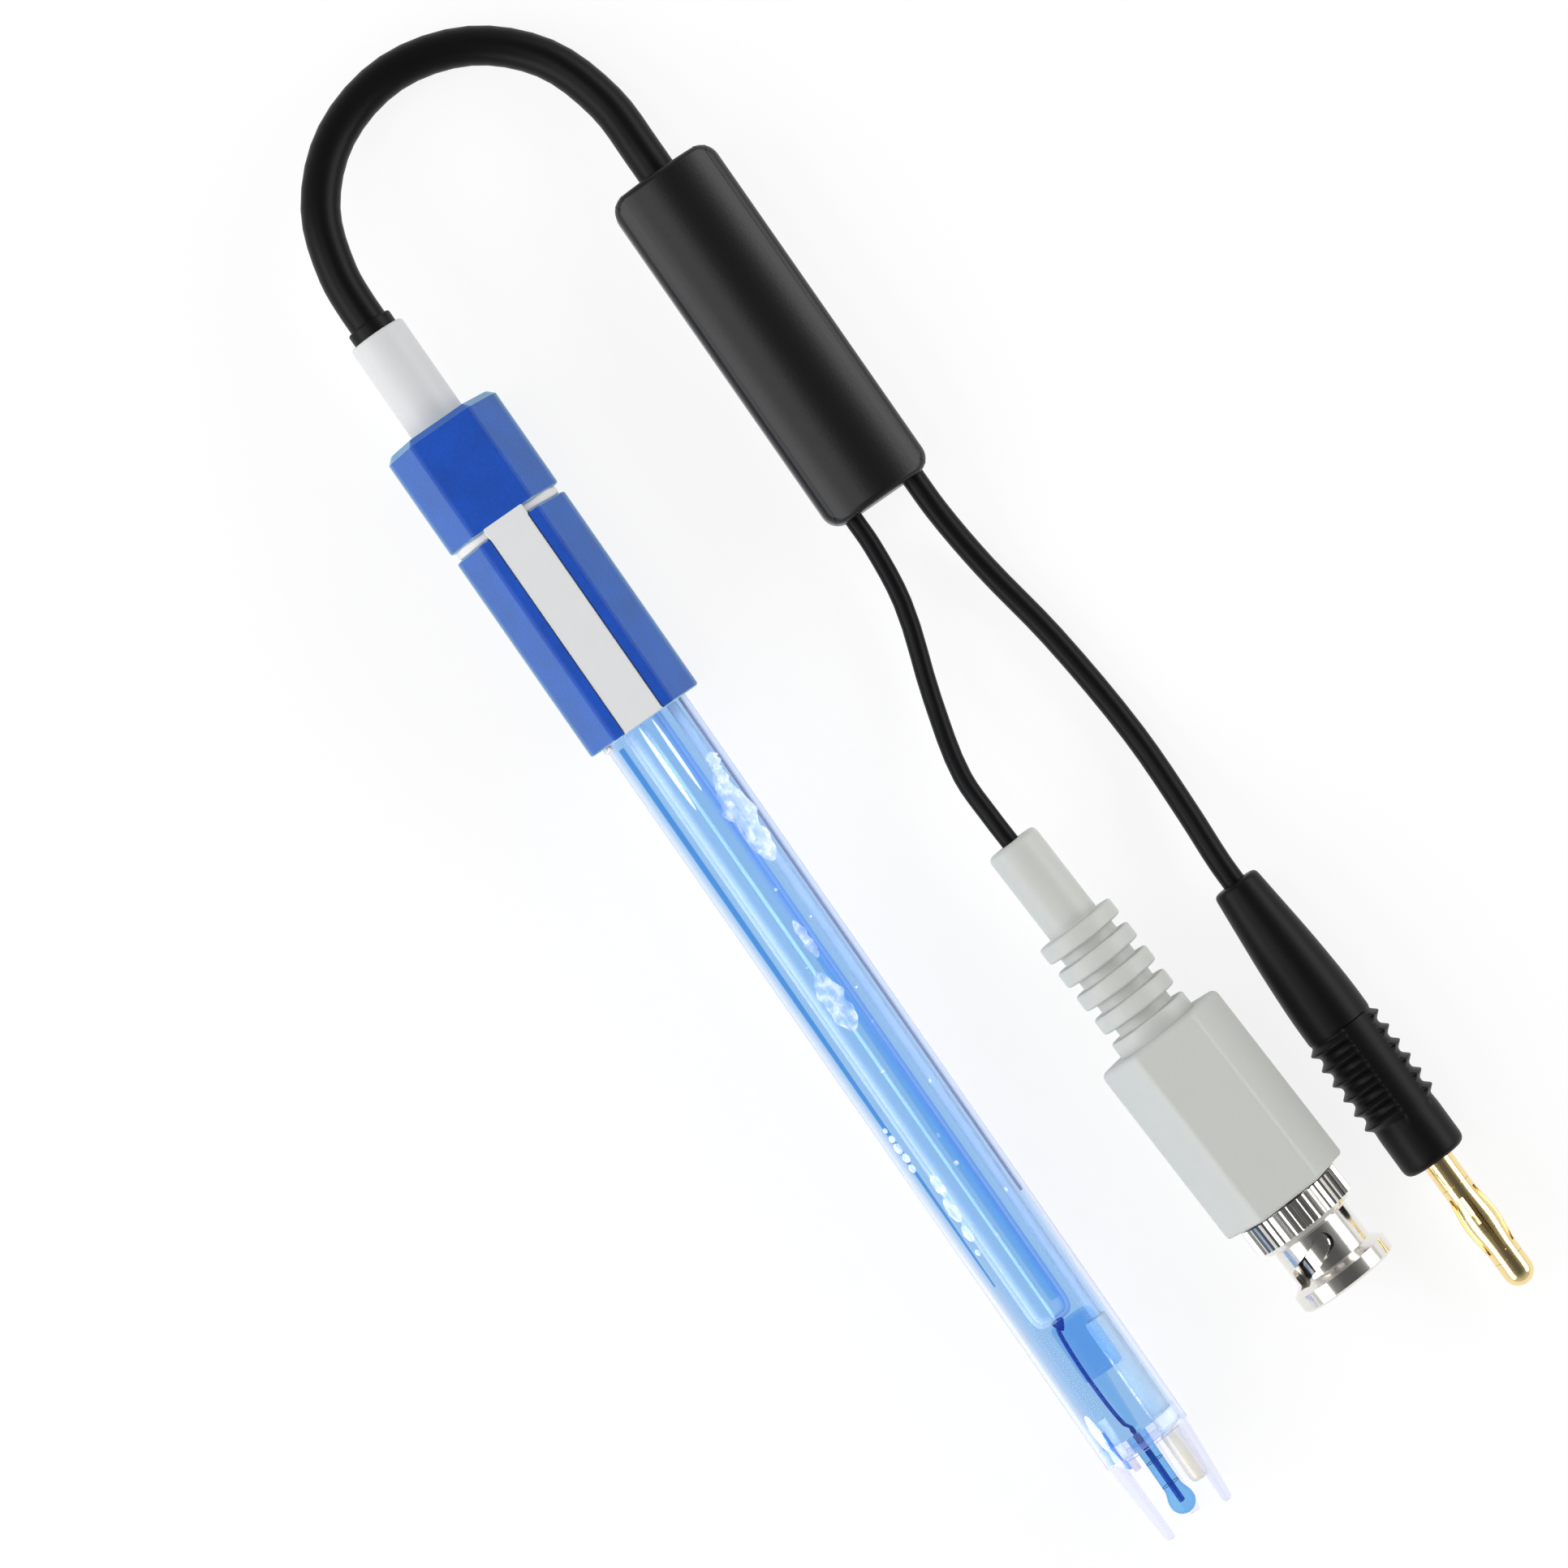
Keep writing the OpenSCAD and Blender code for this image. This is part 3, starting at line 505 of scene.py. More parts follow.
def thin_glass(name, colour, rim, shine=0.08, least=0.06, most=0.6, start=0.1, film=0.0):
    """Thin clear glass that doesn't bend what is seen through it; rim is how pale its edges are."""
    material = bpy.data.materials.new(name)
    material.use_nodes = True
    tree = material.node_tree
    surface = tree.nodes["Principled BSDF"]
    surface.inputs["Base Color"].default_value = (*rim, 1)
    surface.inputs["Roughness"].default_value = shine
    open_way = tree.nodes.new("ShaderNodeBsdfTransparent")
    open_way.inputs["Color"].default_value = (*colour, 1)
    edge = tree.nodes.new("ShaderNodeLayerWeight")
    edge.inputs["Blend"].default_value = 0.35
    share = tree.nodes.new("ShaderNodeMapRange")
    share.inputs["From Min"].default_value = start
    share.inputs["To Min"].default_value = least
    share.inputs["To Max"].default_value = most
    either = tree.nodes.new("ShaderNodeMixShader")
    tree.links.new(edge.outputs["Facing"], share.inputs["Value"])
    tree.links.new(share.outputs[0], either.inputs["Fac"])
    if film:
        place = tree.nodes.new("ShaderNodeTexCoord")
        crumple = tree.nodes.new("ShaderNodeTexNoise")
        crumple.inputs["Scale"].default_value = 900
        crumple.inputs["Detail"].default_value = 3
        patch = tree.nodes.new("ShaderNodeMapRange")
        patch.inputs["From Min"].default_value = 0.42
        patch.inputs["From Max"].default_value = 0.66
        patch.inputs["To Max"].default_value = film
        both = tree.nodes.new("ShaderNodeMath")
        both.operation = "ADD"
        both.use_clamp = True
        tree.links.new(place.outputs["Object"], crumple.inputs["Vector"])
        tree.links.new(crumple.outputs["Fac"], patch.inputs["Value"])
        tree.links.new(share.outputs[0], both.inputs[0])
        tree.links.new(patch.outputs[0], both.inputs[1])
        tree.links.new(both.outputs[0], either.inputs["Fac"])
    tree.links.new(open_way.outputs[0], either.inputs[1])
    tree.links.new(surface.outputs[0], either.inputs[2])
    tree.links.new(either.outputs[0], tree.nodes["Material Output"].inputs["Surface"])
    return material


def turn_from(point, turn):
    """How far round the axis a point lies from a given turn, by up to half a turn either way."""
    return (math.atan2(point.y, point.x) - turn + math.pi) % math.tau - math.pi


def along_bench(station):
    """How far along the bench a station of the electrode lies."""
    return (electrode @ Vector((0, 0, station * MM))).x


def second_finish(piece, finish, chosen):
    """Gives a second finish to those faces of a piece whose middles are chosen."""
    piece.data.materials.append(finish)
    for face in piece.data.polygons:
        face.material_index = int(chosen(face.center))


clear_plastic = rimmed(
    clear("clear_plastic", (0.95, 0.955, 0.995), 0.0, 1.12, bump=0.008, size=90),
    (0.62, 0.7, 0.88), 0.01, 0.7, 0.4, 0.72, outline=(0.4, 0.46, 0.74),
)
tube = spun(
    [(0, shaft_at - 6), (shaft_d / 2, shaft_at - 6), (shaft_d / 2, tube_end), (bore_d / 2, tube_end),
     (bore_d / 2, tube_end - 0.3), (0, tube_end - 0.3)],
    steps=180, closed=False,
)
bmesh.ops.remove_doubles(tube, verts=tube.verts, dist=1e-7)
prong_half = prong_w / shaft_d
wall_r = (shaft_d + bore_d) / 4
prong_levels = [  # station, lean, share of the width, and how far the faces draw in at the rounded tip
    (tube_end + root, 0, 1, 0), (tube_end + 5, prong_lean * 0.4, 0.92, 0),
    (tip_at - 0.35, prong_lean, 0.78, 0), (tip_at - 0.1, prong_lean, 0.72, 0.08),
    (tip_at, prong_lean, 0.6, 0.2),
]
for middle_turn in (0, math.tau / 3, -math.tau / 3):
    top = []
    for face in tube.faces:
        centre = face.calc_center_median()
        in_wall = math.hypot(centre.x, centre.y) > bore_d / 2 * MM
        at_end = abs(centre.z - tube_end * MM) < 1e-6
        if in_wall and at_end and abs(turn_from(centre, middle_turn)) < prong_half:
            top.append(face)
    for station, lean, share, draw in prong_levels:
        grown = bmesh.ops.extrude_face_region(tube, geom=top)["geom"]
        bmesh.ops.delete(tube, geom=[f for f in top if f.is_valid], context="FACES")
        top = [f for f in grown if isinstance(f, bmesh.types.BMFace)]
        span = max(abs(turn_from(v.co, middle_turn)) for f in top for v in f.verts)
        for vert in {v for f in top for v in f.verts}:
            if station == tube_end + root:
                vert.tag = math.hypot(vert.co.x, vert.co.y) > wall_r * MM
            r = (shaft_d / 2 - lean - draw) if vert.tag else (bore_d / 2 - lean / 2 + draw)
            turn = middle_turn + turn_from(vert.co, middle_turn) / span * prong_half * share
            vert.co = (r * math.cos(turn) * MM, r * math.sin(turn) * MM, station * MM)
shaft = add_mesh("shaft_tube", tube, electrode, clear_plastic, "probe")
prong_plastic = thin_glass(
    "prong_plastic", (0.95, 0.955, 0.99), (0.58, 0.61, 0.82), shine=0.12, least=0.03, most=0.95
)
crown_start = along_bench(tube_end + 0.2)
second_finish(shaft, prong_plastic, lambda face: face.x > crown_start)
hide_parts("shaft")


# A row of crumbs of dried white glue, no two alike. It squeezed out of the joint where the shaft is
# cemented into the head, on the side towards the left of the picture.
crumb_count = 11
crumb_out = shaft_d / 2 + 0.1
crumbs_from = 180 + 62
crumb_pitch = 4.5
crumbs = bmesh.new()
for k in range(crumb_count):
    crumb = bmesh.new()
    bmesh.ops.create_icosphere(crumb, subdivisions=3, radius=(0.3 + 0.12 * math.sin(2.7 * k)) * MM)
    for vert in crumb.verts:
        x, y, z = vert.co.normalized()
        vert.co *= 1 + 0.3 * math.sin(5 * x + 4 * y + k) * math.sin(6 * z + 3 * y + 2 * k)
    around = math.radians(crumbs_from + crumb_pitch * k + 5 * math.sin(3.3 * k))
    bmesh.ops.translate(crumb, verts=crumb.verts, vec=(
        crumb_out * math.cos(around) * MM, crumb_out * math.sin(around) * MM,
        (shaft_at + 0.35 + 0.3 * math.sin(1.9 * k)) * MM,
    ))
    joined(crumbs, crumb)
dried_glue = moulded(
    "dried_glue", (0.78, 0.78, 0.8), 0.35, grain=5000, blotch=900, swing=0.1, bump=0.5
)
crumbs = add_mesh("glue_crumbs", crumbs, electrode, dried_glue, "probe")


# The shaft is filled with the blue gel of the reference, poured in round the inner glass tube. The gel
# takes red out of the light on its way through. Its skin is drawn as wide as the wall's refraction
# shows it, narrower towards the end.
stem_y = -0.5
inner_end = 149.8
disc_at = 164.8
gel_gap = 0.03


def beside(y, x=0.0):
    """The electrode's place, moved across the shaft."""
    return electrode @ Matrix.Translation((x * MM, y * MM, 0))


def filled(name, colour, edge_colour, start=0.05, end=0.65):
    """A clear filling, paler where less of it is looked through, near its sides."""
    material = clear(name, colour, 0.0, 1.01)
    tree = material.node_tree
    edge = tree.nodes.new("ShaderNodeLayerWeight")
    edge.inputs["Blend"].default_value = 0.5
    share = tree.nodes.new("ShaderNodeMapRange")
    share.inputs["From Min"].default_value = start
    share.inputs["From Max"].default_value = end
    tint = tree.nodes.new("ShaderNodeMix")
    tint.data_type = "RGBA"
    tint.inputs["A"].default_value = (*colour, 1)
    tint.inputs["B"].default_value = (*edge_colour, 1)
    tree.links.new(edge.outputs["Facing"], share.inputs["Value"])
    tree.links.new(share.outputs[0], tint.inputs["Factor"])
    tree.links.new(tint.outputs["Result"], tree.nodes["Principled BSDF"].inputs["Base Color"])
    tree.nodes["Transparent BSDF"].inputs["Color"].default_value = (1, 1, 1, 1)
    return material


blue_gel = filled("blue_gel", (0.31, 0.54, 0.83), (0.6, 0.74, 0.92), start=0.22, end=0.72)
gel_r = bore_d / 2 - gel_gap
gel_end = disc_at + 1.5
gel_skin = [(5.8, shaft_at + 0.1), (5.76, 76), (5.5, 100), (5.2, 125), (4.8, 146), (4.8, gel_end)]
gel = turned(
    "gel_filling",
    [(0, shaft_at - 5), (gel_r, shaft_at - 5), (gel_r, shaft_at)] + gel_skin + [(0, gel_end)],
    electrode, blue_gel, closed=False,
)
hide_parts("reference_gel")


# The gel isn't even. It is a deeper blue in a plug between the inner tube and the end seal, with a pale
# tail beyond it, and has a dark flow line beside the inner tube.
deep_at = inner_end + 0.4
deep_end = 158.2
deep_r = 2.7
tail_at = deep_end + 0.2
tail_end = gel_end - 0.2
flow_at = 61
flow_end = 142
deep_gel = filled("deep_gel", (0.36, 0.62, 0.93), (0.6, 0.78, 0.96))
plug = turned(
    "gel_plug", [(0, deep_at), (deep_r, deep_at, 0.8), (deep_r, deep_end, 0.3), (0, deep_end)],
    beside(0.9), deep_gel, closed=False,
)
tail = turned(
    "gel_plug_tail", [(0, tail_at), (0.95, tail_at), (0.7, 162), (0.5, tail_end), (0, tail_end)],
    beside(-0.15), filled("tail_blue", (0.6, 0.81, 0.97), (0.8, 0.92, 0.98), end=1.0), steps=32,
    closed=False,
)
flow = turned(
    "gel_flow_line",
    [(0, flow_at), (0.34, flow_at), (0.32, 92), (0.24, 118), (0.1, flow_end), (0, flow_end)],
    beside(-3.95), filled("flow_blue", (0.2, 0.52, 0.86), (0.34, 0.64, 0.9)), steps=16, closed=False,
)


# The inner tube is drawn glass, closed at its end and held in the potting at its top. Thin and clear, it
# shows by its shine, and by its rim where it is seen along the wall: a painted highlight on the side
# towards the left softbox and a painted shade on the side away from it. Its fill has a darker rod in it,
# a painted shade.
inner_d = 5
inner_wall = 0.5
inner_r = inner_d / 2 - inner_wall
glass = thin_glass("lit_side_glass", (0.99, 0.995, 1.0), (0.95, 0.84, 0.86), least=0.01, most=0.9)
shadow_glass = thin_glass("shaded_glass", (0.99, 0.995, 1.0), (0.05, 0.2, 0.55), least=0.01, most=0.7)
inner = turned(
    "inner_glass_tube",
    [(inner_r, shaft_at - 4), (inner_d / 2, shaft_at - 4), (inner_d / 2, inner_end, 2.4),
     (0, inner_end), (0, inner_end - inner_wall), (inner_r, inner_end - inner_wall, 1.9)],
    beside(stem_y), glass, steps=64,
)
# The inner tube has lit and shaded copies of one glass. Its side towards the left softbox has a pale
# rim, a painted highlight, and the side turned from the softbox has a deep blue rim, a painted shade.
second_finish(inner, shadow_glass, lambda face: face.y > stem_y * MM)
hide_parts("inner_tube")
fill_r = inner_r - 0.06
fill_at = shaft_at - 3.5
fill_end = inner_end - 0.6
core = turned(
    "inner_fill", [(0, fill_at), (fill_r, fill_at), (fill_r, fill_end, 1.8), (0, fill_end)],
    beside(stem_y), filled("inner_blue", (0.92, 0.98, 1.0), (0.96, 0.99, 1.0)), steps=48, closed=False,
)
# The darker rod in the fill, on the side away from the left softbox, is a painted shade.
shade_at = 96
shade_end = 147.4
shade = turned(
    "inner_fill_shade",
    [(0, shade_at), (0.3, shade_at), (0.6, 122), (0.62, shade_end, 0.5), (0, shade_end)],
    beside(0.75), filled("shade_blue", (0.56, 0.79, 0.97), (0.7, 0.88, 0.98)), steps=32, closed=False,
)


# The signal wire is drawn silver in the tube, a fine blue-black thread in the gel and a thicker grey
# rod in the stem. It is sealed into the end of the tube by a dark bead.
silver = moulded("silver_wire", (0.62, 0.66, 0.74), 0.3, grain=900, blotch=300, swing=0.05, bump=0.1)
navy = moulded("navy_wire", (0.006, 0.026, 0.19), 0.35, grain=900, blotch=300, swing=0.15, bump=0.1)
wire_at = 21
wire_end = 177.1
bow = 0.78
bow_parts = 24
wire = spun(
    [(0, wire_at), (0.2, wire_at), (0.2, inner_end), (0.22, inner_end + 1)]
    + [(0.24, inner_end + 1 + (disc_at - inner_end) * k / bow_parts) for k in range(1, bow_parts)]
    + [(0.22, disc_at + 1), (0.38, disc_at + 2), (0.38, wire_end, 0.2), (0, wire_end)],
    steps=24, closed=False,
)
for vert in wire.verts:
    reach = (vert.co.z / MM - inner_end) / (disc_at + 1 - inner_end)
    if 0 < reach < 1:
        vert.co.y -= bow * math.sin(math.pi * reach) ** 0.35 * MM
wire = add_mesh("signal_thread", wire, beside(stem_y), silver, "probe")
bead_start = along_bench(inner_end - 0.5)
second_finish(wire, navy, lambda face: face.x > bead_start)
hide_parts("signal_wire")
bead = turned(
    "sealing_bead",
    [(0, inner_end - 0.3), (0.75, inner_end - 0.1, 0.2), (0.7, inner_end + 0.4, 0.4),
     (0.3, inner_end + 1.2, 0.4), (0, inner_end + 1.5)],
    beside(stem_y), navy, steps=32, closed=False,
)
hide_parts("wire_bead")
nodes = frame["nodes"]


def refinish(finish, *names):
    """Gives a finish to nodes that keep the form of their solids."""
    for name in names:
        nodes[name].data.materials.clear()
        nodes[name].data.materials.append(finish)


refinish(
    moulded("lead_sheath", (0.52, 0.52, 0.56), 0.4, grain=900, blotch=300, swing=0.1, bump=0.1),
    "temperature_leads",
)
refinish(
    moulded("reference_silver", (0.12, 0.12, 0.2), 0.35, grain=900, blotch=300, swing=0.2, bump=0.2),
    "reference_wire",
)


# Air trapped on the gel's skin under the wall: a crumpled pocket by the head, a long one lower down, a
# row of pale bubbles and many small round ones. Among them are smooth pale streaks beside the head and
# along the finger, which are painted highlights.
air = thin_glass(
    "trapped_air_and_highlight", (0.98, 0.98, 1.0), (0.8, 0.82, 0.93), shine=0.12, least=0.08, most=1.0, film=0.3
)
highlight_streak_end = 72.6
highlight_streak_half = 1.5
pockets = [  # station, y, length, width, and how crumpled
    (76.5, 3.3, 13, 3.2, 0.5), (101.5, -0.4, 8.5, 3.0, 0.35), (93.0, 1.0, 5.5, 1.2, 0.4),
    (119.5, -4.3, 1.0, 0.7, 0.1), (120.9, -4.35, 1.5, 0.8, 0.1), (122.4, -4.2, 1.3, 0.8, 0.1),
    (123.9, -4.3, 1.2, 0.7, 0.1), (118.2, -4.4, 0.7, 0.5, 0.1), (127.3, -2.9, 3.2, 1.2, 0.2),
    (130.8, -3.2, 3.6, 1.3, 0.2), (134.3, -3.3, 2.4, 1.0, 0.2), (137.0, -3.6, 0.9, 0.6, 0.1),
    (164.0, -4.2, 5.5, 0.9, 0.15), (168.5, -4.1, 4.5, 0.7, 0.15),
    (68.5, 4.2, 2.0, 1.6, 0.4), (70.5, 3.9, 3.0, 1.4, 0.4),
    # The next three are painted highlights, not air: two streaks beside the head and one along the
    # finger.
    (66.2, -1.0, 12.4, 0.6, 0.03), (65.4, 0.9, 10.8, 0.45, 0.03), (161.0, 2.1, 10.5, 0.26, 0.03),
] + [
    (86 + 5.1 * k + 1.7 * math.sin(3.1 * k), 1.4 + 2.2 * math.sin(2.3 * k),
     0.45 + 0.2 * math.sin(5.7 * k), 0.4 + 0.15 * math.sin(4.1 * k), 0.05)
    for k in range(11)
]
bubbles = bmesh.new()
for n, (station, y, length, width, rough) in enumerate(pockets):
    blob = bmesh.new()
    bmesh.ops.create_icosphere(blob, subdivisions=4 if length > 4 else 3, radius=1)
    depth = min(0.11, width * 0.2)
    skin_r = next(
        r0 + (r1 - r0) * (station - z0) / (z1 - z0)
        for (r0, z0), (r1, z1) in zip(gel_skin, gel_skin[1:])
        if z0 <= station <= z1 or z1 == gel_end
    )
    for vert in blob.verts:
        x, across, along = vert.co
        swell = 1 + rough * (
            0.5 * math.sin(7 * along + 3 * across + n)
            + 0.35 * math.sin(13 * along - 5 * across + 2.1 * n)
        ) * (1 - abs(along)) ** 0.5
        side = y + across * swell * width / 2
        lift = (skin_r**2 - min(side * side, skin_r**2 * 0.96)) ** 0.5
        vert.co = ((-lift + depth * x * swell) * MM, side * MM, (station + along * length / 2) * MM)
    joined(bubbles, blob)
bubbles = add_mesh("trapped_air_and_streaks", bubbles, electrode, air, "probe")
# The streaks beside the head get a paler finish of their own, a painted highlight.
highlight_streak_finish = thin_glass(
    "highlight_streak_finish", (0.98, 0.98, 1.0), (0.8, 0.88, 0.96), shine=0.3, least=0.55, most=0.75
)
highlight_streak_stop = along_bench(highlight_streak_end)
second_finish(bubbles, highlight_streak_finish, lambda face: face.x < highlight_streak_stop and abs(face.y) < highlight_streak_half * MM)


# The sensing end: a blown glass bulb on its stem with its clear fill, the ivory capsule of the
# temperature sensor, a pinkish porous junction and a blue plug in the filling hole.
stem_d = 2.4
bulb_d = 3.4
bulb_end = tip_at - 1.1
swell_len = 2.0
ring_stations = (170.9, 174.4)
ring_w = 0.12
disc_len = 3.4
finger_y = 3.1
finger_d = 2.7
finger_at = tube_end - 16.5
finger_end = tip_at - 3.7
bulb_middle = bulb_end - bulb_d / 2
swell_at = bulb_middle - 2.2
bulb_line = [(0, gel_end + 0.1), (stem_d / 2, gel_end + 0.1), (stem_d / 2, swell_at)]
for k in range(1, 8):
    growth = (1 - math.cos(math.pi * k / 8)) / 2
    bulb_line.append((stem_d / 2 + (bulb_d - stem_d) / 2 * growth, swell_at + swell_len * k / 8))
for k in range(13):
    turn = math.pi / 2 * k / 12
    bulb_line.append((bulb_d / 2 * math.cos(turn), bulb_middle + bulb_d / 2 * math.sin(turn)))
stem_glass = rimmed(clear("bulb_glass", (0.22, 0.52, 0.85), 0.0, 1.06), (0.1, 0.3, 0.62), 0.03, 0.6, 0.3)
bulb = turned("bulb_and_stem", bulb_line, beside(stem_y), stem_glass, steps=64, closed=False)
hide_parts("glass_bulb", "buffer_fill")
for station in ring_stations:
    ring = turned(
        f"stem_ring_{round(station)}",
        [(stem_d / 2 + 0.01, station, 0.03), (stem_d / 2 + 0.05, station + ring_w / 2, 0.03),
         (stem_d / 2 + 0.01, station + ring_w, 0.03)],
        beside(stem_y), navy, steps=64,
    )
ivory = moulded(
    "ivory_glaze", (0.72, 0.69, 0.6), 0.25, grain=700, blotch=300, swing=0.04, bump=0.08, Coat_Weight=0.4
)
finger = turned(
    "sensor_capsule",
    [(0, finger_at), (finger_d / 2, finger_at, 0.4), (finger_d / 2, gel_end),
     (finger_d / 2, finger_end, finger_d / 2 - 0.05), (0, finger_end)],
    beside(finger_y), ivory, steps=64, closed=False,
)
wet_capsule = moulded(
    "wet_capsule", (0.58, 0.54, 0.5), 0.4, grain=700, blotch=300, swing=0.1, bump=0.08
)
gel_edge = along_bench(gel_end)
second_finish(finger, wet_capsule, lambda face: face.x < gel_edge)
# A thin clear sheath round the capsule in the gel, whose pale edges are a painted highlight line along
# it.
highlight_film_glass = thin_glass(
    "highlight_film_glass", (0.99, 0.995, 1.0), (0.93, 0.95, 0.98), shine=0.04, least=0.0, most=0.9, start=0.55
)
highlight_film_in = finger_d / 2 + 0.03
highlight_film_out = finger_d / 2 + 0.07
film = turned(
    "capsule_highlight_film",
    [(highlight_film_in, finger_at + 0.6), (highlight_film_out, finger_at + 0.6), (highlight_film_out, disc_at - 0.1),
     (highlight_film_in, disc_at - 0.1)],
    beside(finger_y), highlight_film_glass, steps=64,
)
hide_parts("temperature_finger")
refinish(
    moulded("porous_ceramic", (0.68, 0.66, 0.74), 0.7, grain=4000, blotch=900, swing=0.15, bump=0.5),
    "junction_pin",
)
refinish(
    moulded("plug_blue", (0.16, 0.36, 0.8), 0.4, grain=2600, blotch=300, swing=0.08, bump=0.1),
    "fill_plug",
)
resin = rimmed(clear("potting_resin", (0.7, 0.8, 0.96), 0.05, 1.03), (0.5, 0.55, 0.76), 0.05, 0.6, 0.3)
disc = turned(
    "end_seal",
    [(0, gel_end + gel_gap), (gel_r, gel_end + gel_gap), (gel_r, disc_at + disc_len + 0.2, 0.3),
     (0, disc_at + disc_len - 0.2)],
    electrode, resin, closed=False,
)
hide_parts("end_disc")
refinish(resin, "potting")
refinish(rubber, "cable_cores")


# The splitter is moulded over the joint of the three cables. Its shell is satin black plastic with a
# rounded top, and stands on a light grey base that shows as a thin rim. The light grey of that rim is a
# painted highlight along the shell's lower edge.
split_x = -85
split_y = 40
split_len = 49
split_w = 15
split_h = 10
split_round = 2.3
crown = 11
crown_cut = 1.15
base_h = 1.6


def plan_corners(bm, reach, segments=8):
    """Rounds the four upright corners of a block."""
    upright = []
    for edge in bm.edges:
        lean = edge.verts[0].co - edge.verts[1].co
        if abs(lean.x) < 1e-7 and abs(lean.y) < 1e-7:
            upright.append(edge)
    bmesh.ops.bevel(
        bm, geom=upright, offset=reach * MM, offset_type="OFFSET", affect="EDGES", segments=segments,
        profile=0.5, material=-1,
    )


def block(x0, x1, y0, y1, z0, z1):
    """A block between two corners."""
    bm = bmesh.new()
    bmesh.ops.create_cube(bm, size=1)
    bmesh.ops.scale(bm, vec=((x1 - x0) * MM, (y1 - y0) * MM, (z1 - z0) * MM), verts=bm.verts)
    centre = ((x0 + x1) / 2 * MM, (y0 + y1) / 2 * MM, (z0 + z1) / 2 * MM)
    bmesh.ops.translate(bm, vec=centre, verts=bm.verts)
    return bm


satin = moulded(
    "black_satin", (0.004, 0.004, 0.0045), 0.36, grain=2600, blotch=300, swing=0.15, bump=0.4,
    depth=0.00003, Specular_IOR_Level=0.3,
)
shell = block(0, split_len, -split_w / 2, split_w / 2, base_h, split_h)
plan_corners(shell, split_round)
for cut in range(-6, 7):
    bmesh.ops.bisect_plane(
        shell, geom=shell.verts[:] + shell.edges[:] + shell.faces[:],
        plane_co=(0, cut * crown_cut * MM, 0), plane_no=(0, 1, 0),
    )
for vert in shell.verts:
    if vert.co.z > (split_h - 0.01) * MM:
        y = vert.co.y / MM
        vert.co.z = (split_h - crown + math.sqrt(crown**2 - y * y)) * MM
shell.normal_update()
rim = [
    e for e in shell.edges
    if len(e.link_faces) == 2 and min(v.co.z for v in e.verts) > (base_h + 1) * MM
    and (abs(e.link_faces[0].normal.z) < 0.3) != (abs(e.link_faces[1].normal.z) < 0.3)
]
bmesh.ops.bevel(
    shell, geom=rim, offset=0.9 * MM, offset_type="OFFSET", affect="EDGES", segments=5, profile=0.5,
    material=-1,
)
at_splitter = Matrix.Translation((split_x * MM, split_y * MM, 0))
shell = add_mesh("splitter_moulding", shell, at_splitter, satin, "probe")
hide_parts("splitter_shell")
# The base's light grey is a painted highlight along the lower edge of the black shell.
highlight_rim_grey = moulded(
    "highlight_rim_grey_moulding", (0.4, 0.4, 0.39), 0.5, grain=1600, blotch=300, swing=0.05, bump=0.1
)
base = block(0.2, split_len - 0.05, -split_w / 2 + 0.2, split_w / 2 - 0.2, 0, base_h)
plan_corners(base, split_round - 0.2)
base = add_mesh("splitter_floor_highlight_rim", base, at_splitter, highlight_rim_grey, "probe")
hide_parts("splitter_base")


# The bayonet plug's boot is one grey PVC moulding: a thin neck, four fins with a flexible core between
# them, a collar, and a hexagonal grip with softly rounded corners.
boot_len = 55.4
grip_len = 25.8
grip_af = 15.6
grip_at = boot_len - grip_len
plug_end = 68.4
fin_at = 12.8
fin_w = 2.3
fin_count = 4
fin_pitch = 3.65
fin_d = 10.8
fin_core_d = 7.9
collar_d = fin_d + 0.2
hollow_at = 3
neck_d = 7.1
bayonet = place_of("bayonet_coupling", plug_end)
warm_grey = moulded(
    "warm_grey_pvc", (0.47, 0.48, 0.455), 0.48, grain=2000, blotch=200, swing=0.05, bump=0.2
)
boot_line = [
    (coax_d / MM / 2, hollow_at), (coax_d / MM / 2, 0, 0.3), (neck_d / 2, 0, 0.9),
    (neck_d / 2, fin_at, 0.3),
]
for i in range(fin_count):
    start = fin_at + i * fin_pitch
    if i:
        boot_line.append((fin_core_d / 2, start, 0.25))
    boot_line += [
        (fin_d / 2, start, 0.45), (fin_d / 2, start + fin_w, 0.45),
        (fin_core_d / 2, start + fin_w, 0.25),
    ]
fins_end = fin_at + fin_count * fin_pitch
boot_line += [
    (fin_core_d / 2, fins_end, 0.25), (collar_d / 2, fins_end, 0.4), (collar_d / 2, grip_at + 1),
    (0.5, grip_at + 1), (0.5, hollow_at),
]
boot = spun(boot_line)
grip = prism(hexagon(grip_af, 1.0, 1.0), grip_at, boot_len)
ease_end(grip, grip_at, 0.9, 4)
ease_end(grip, boot_len, 0.5, 3)
joined(boot, grip)
boot = add_mesh("bayonet_boot", boot, bayonet, warm_grey, "probe")
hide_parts("bnc_boot")


# The metal of the bayonet plug is turned brass under bright nickel, with fine turning marks. Its centre
# pin, and the banana plug's pin and spring, are gold plated. The splices in the splitter are tinned.
def plated(name, colour, roughness):
    """Turned metal under its plating."""
    return moulded(
        name, colour, roughness, grain=1800, blotch=400, swing=0.06, bump=0.12, depth=0.00001,
        Metallic=1.0,
    )


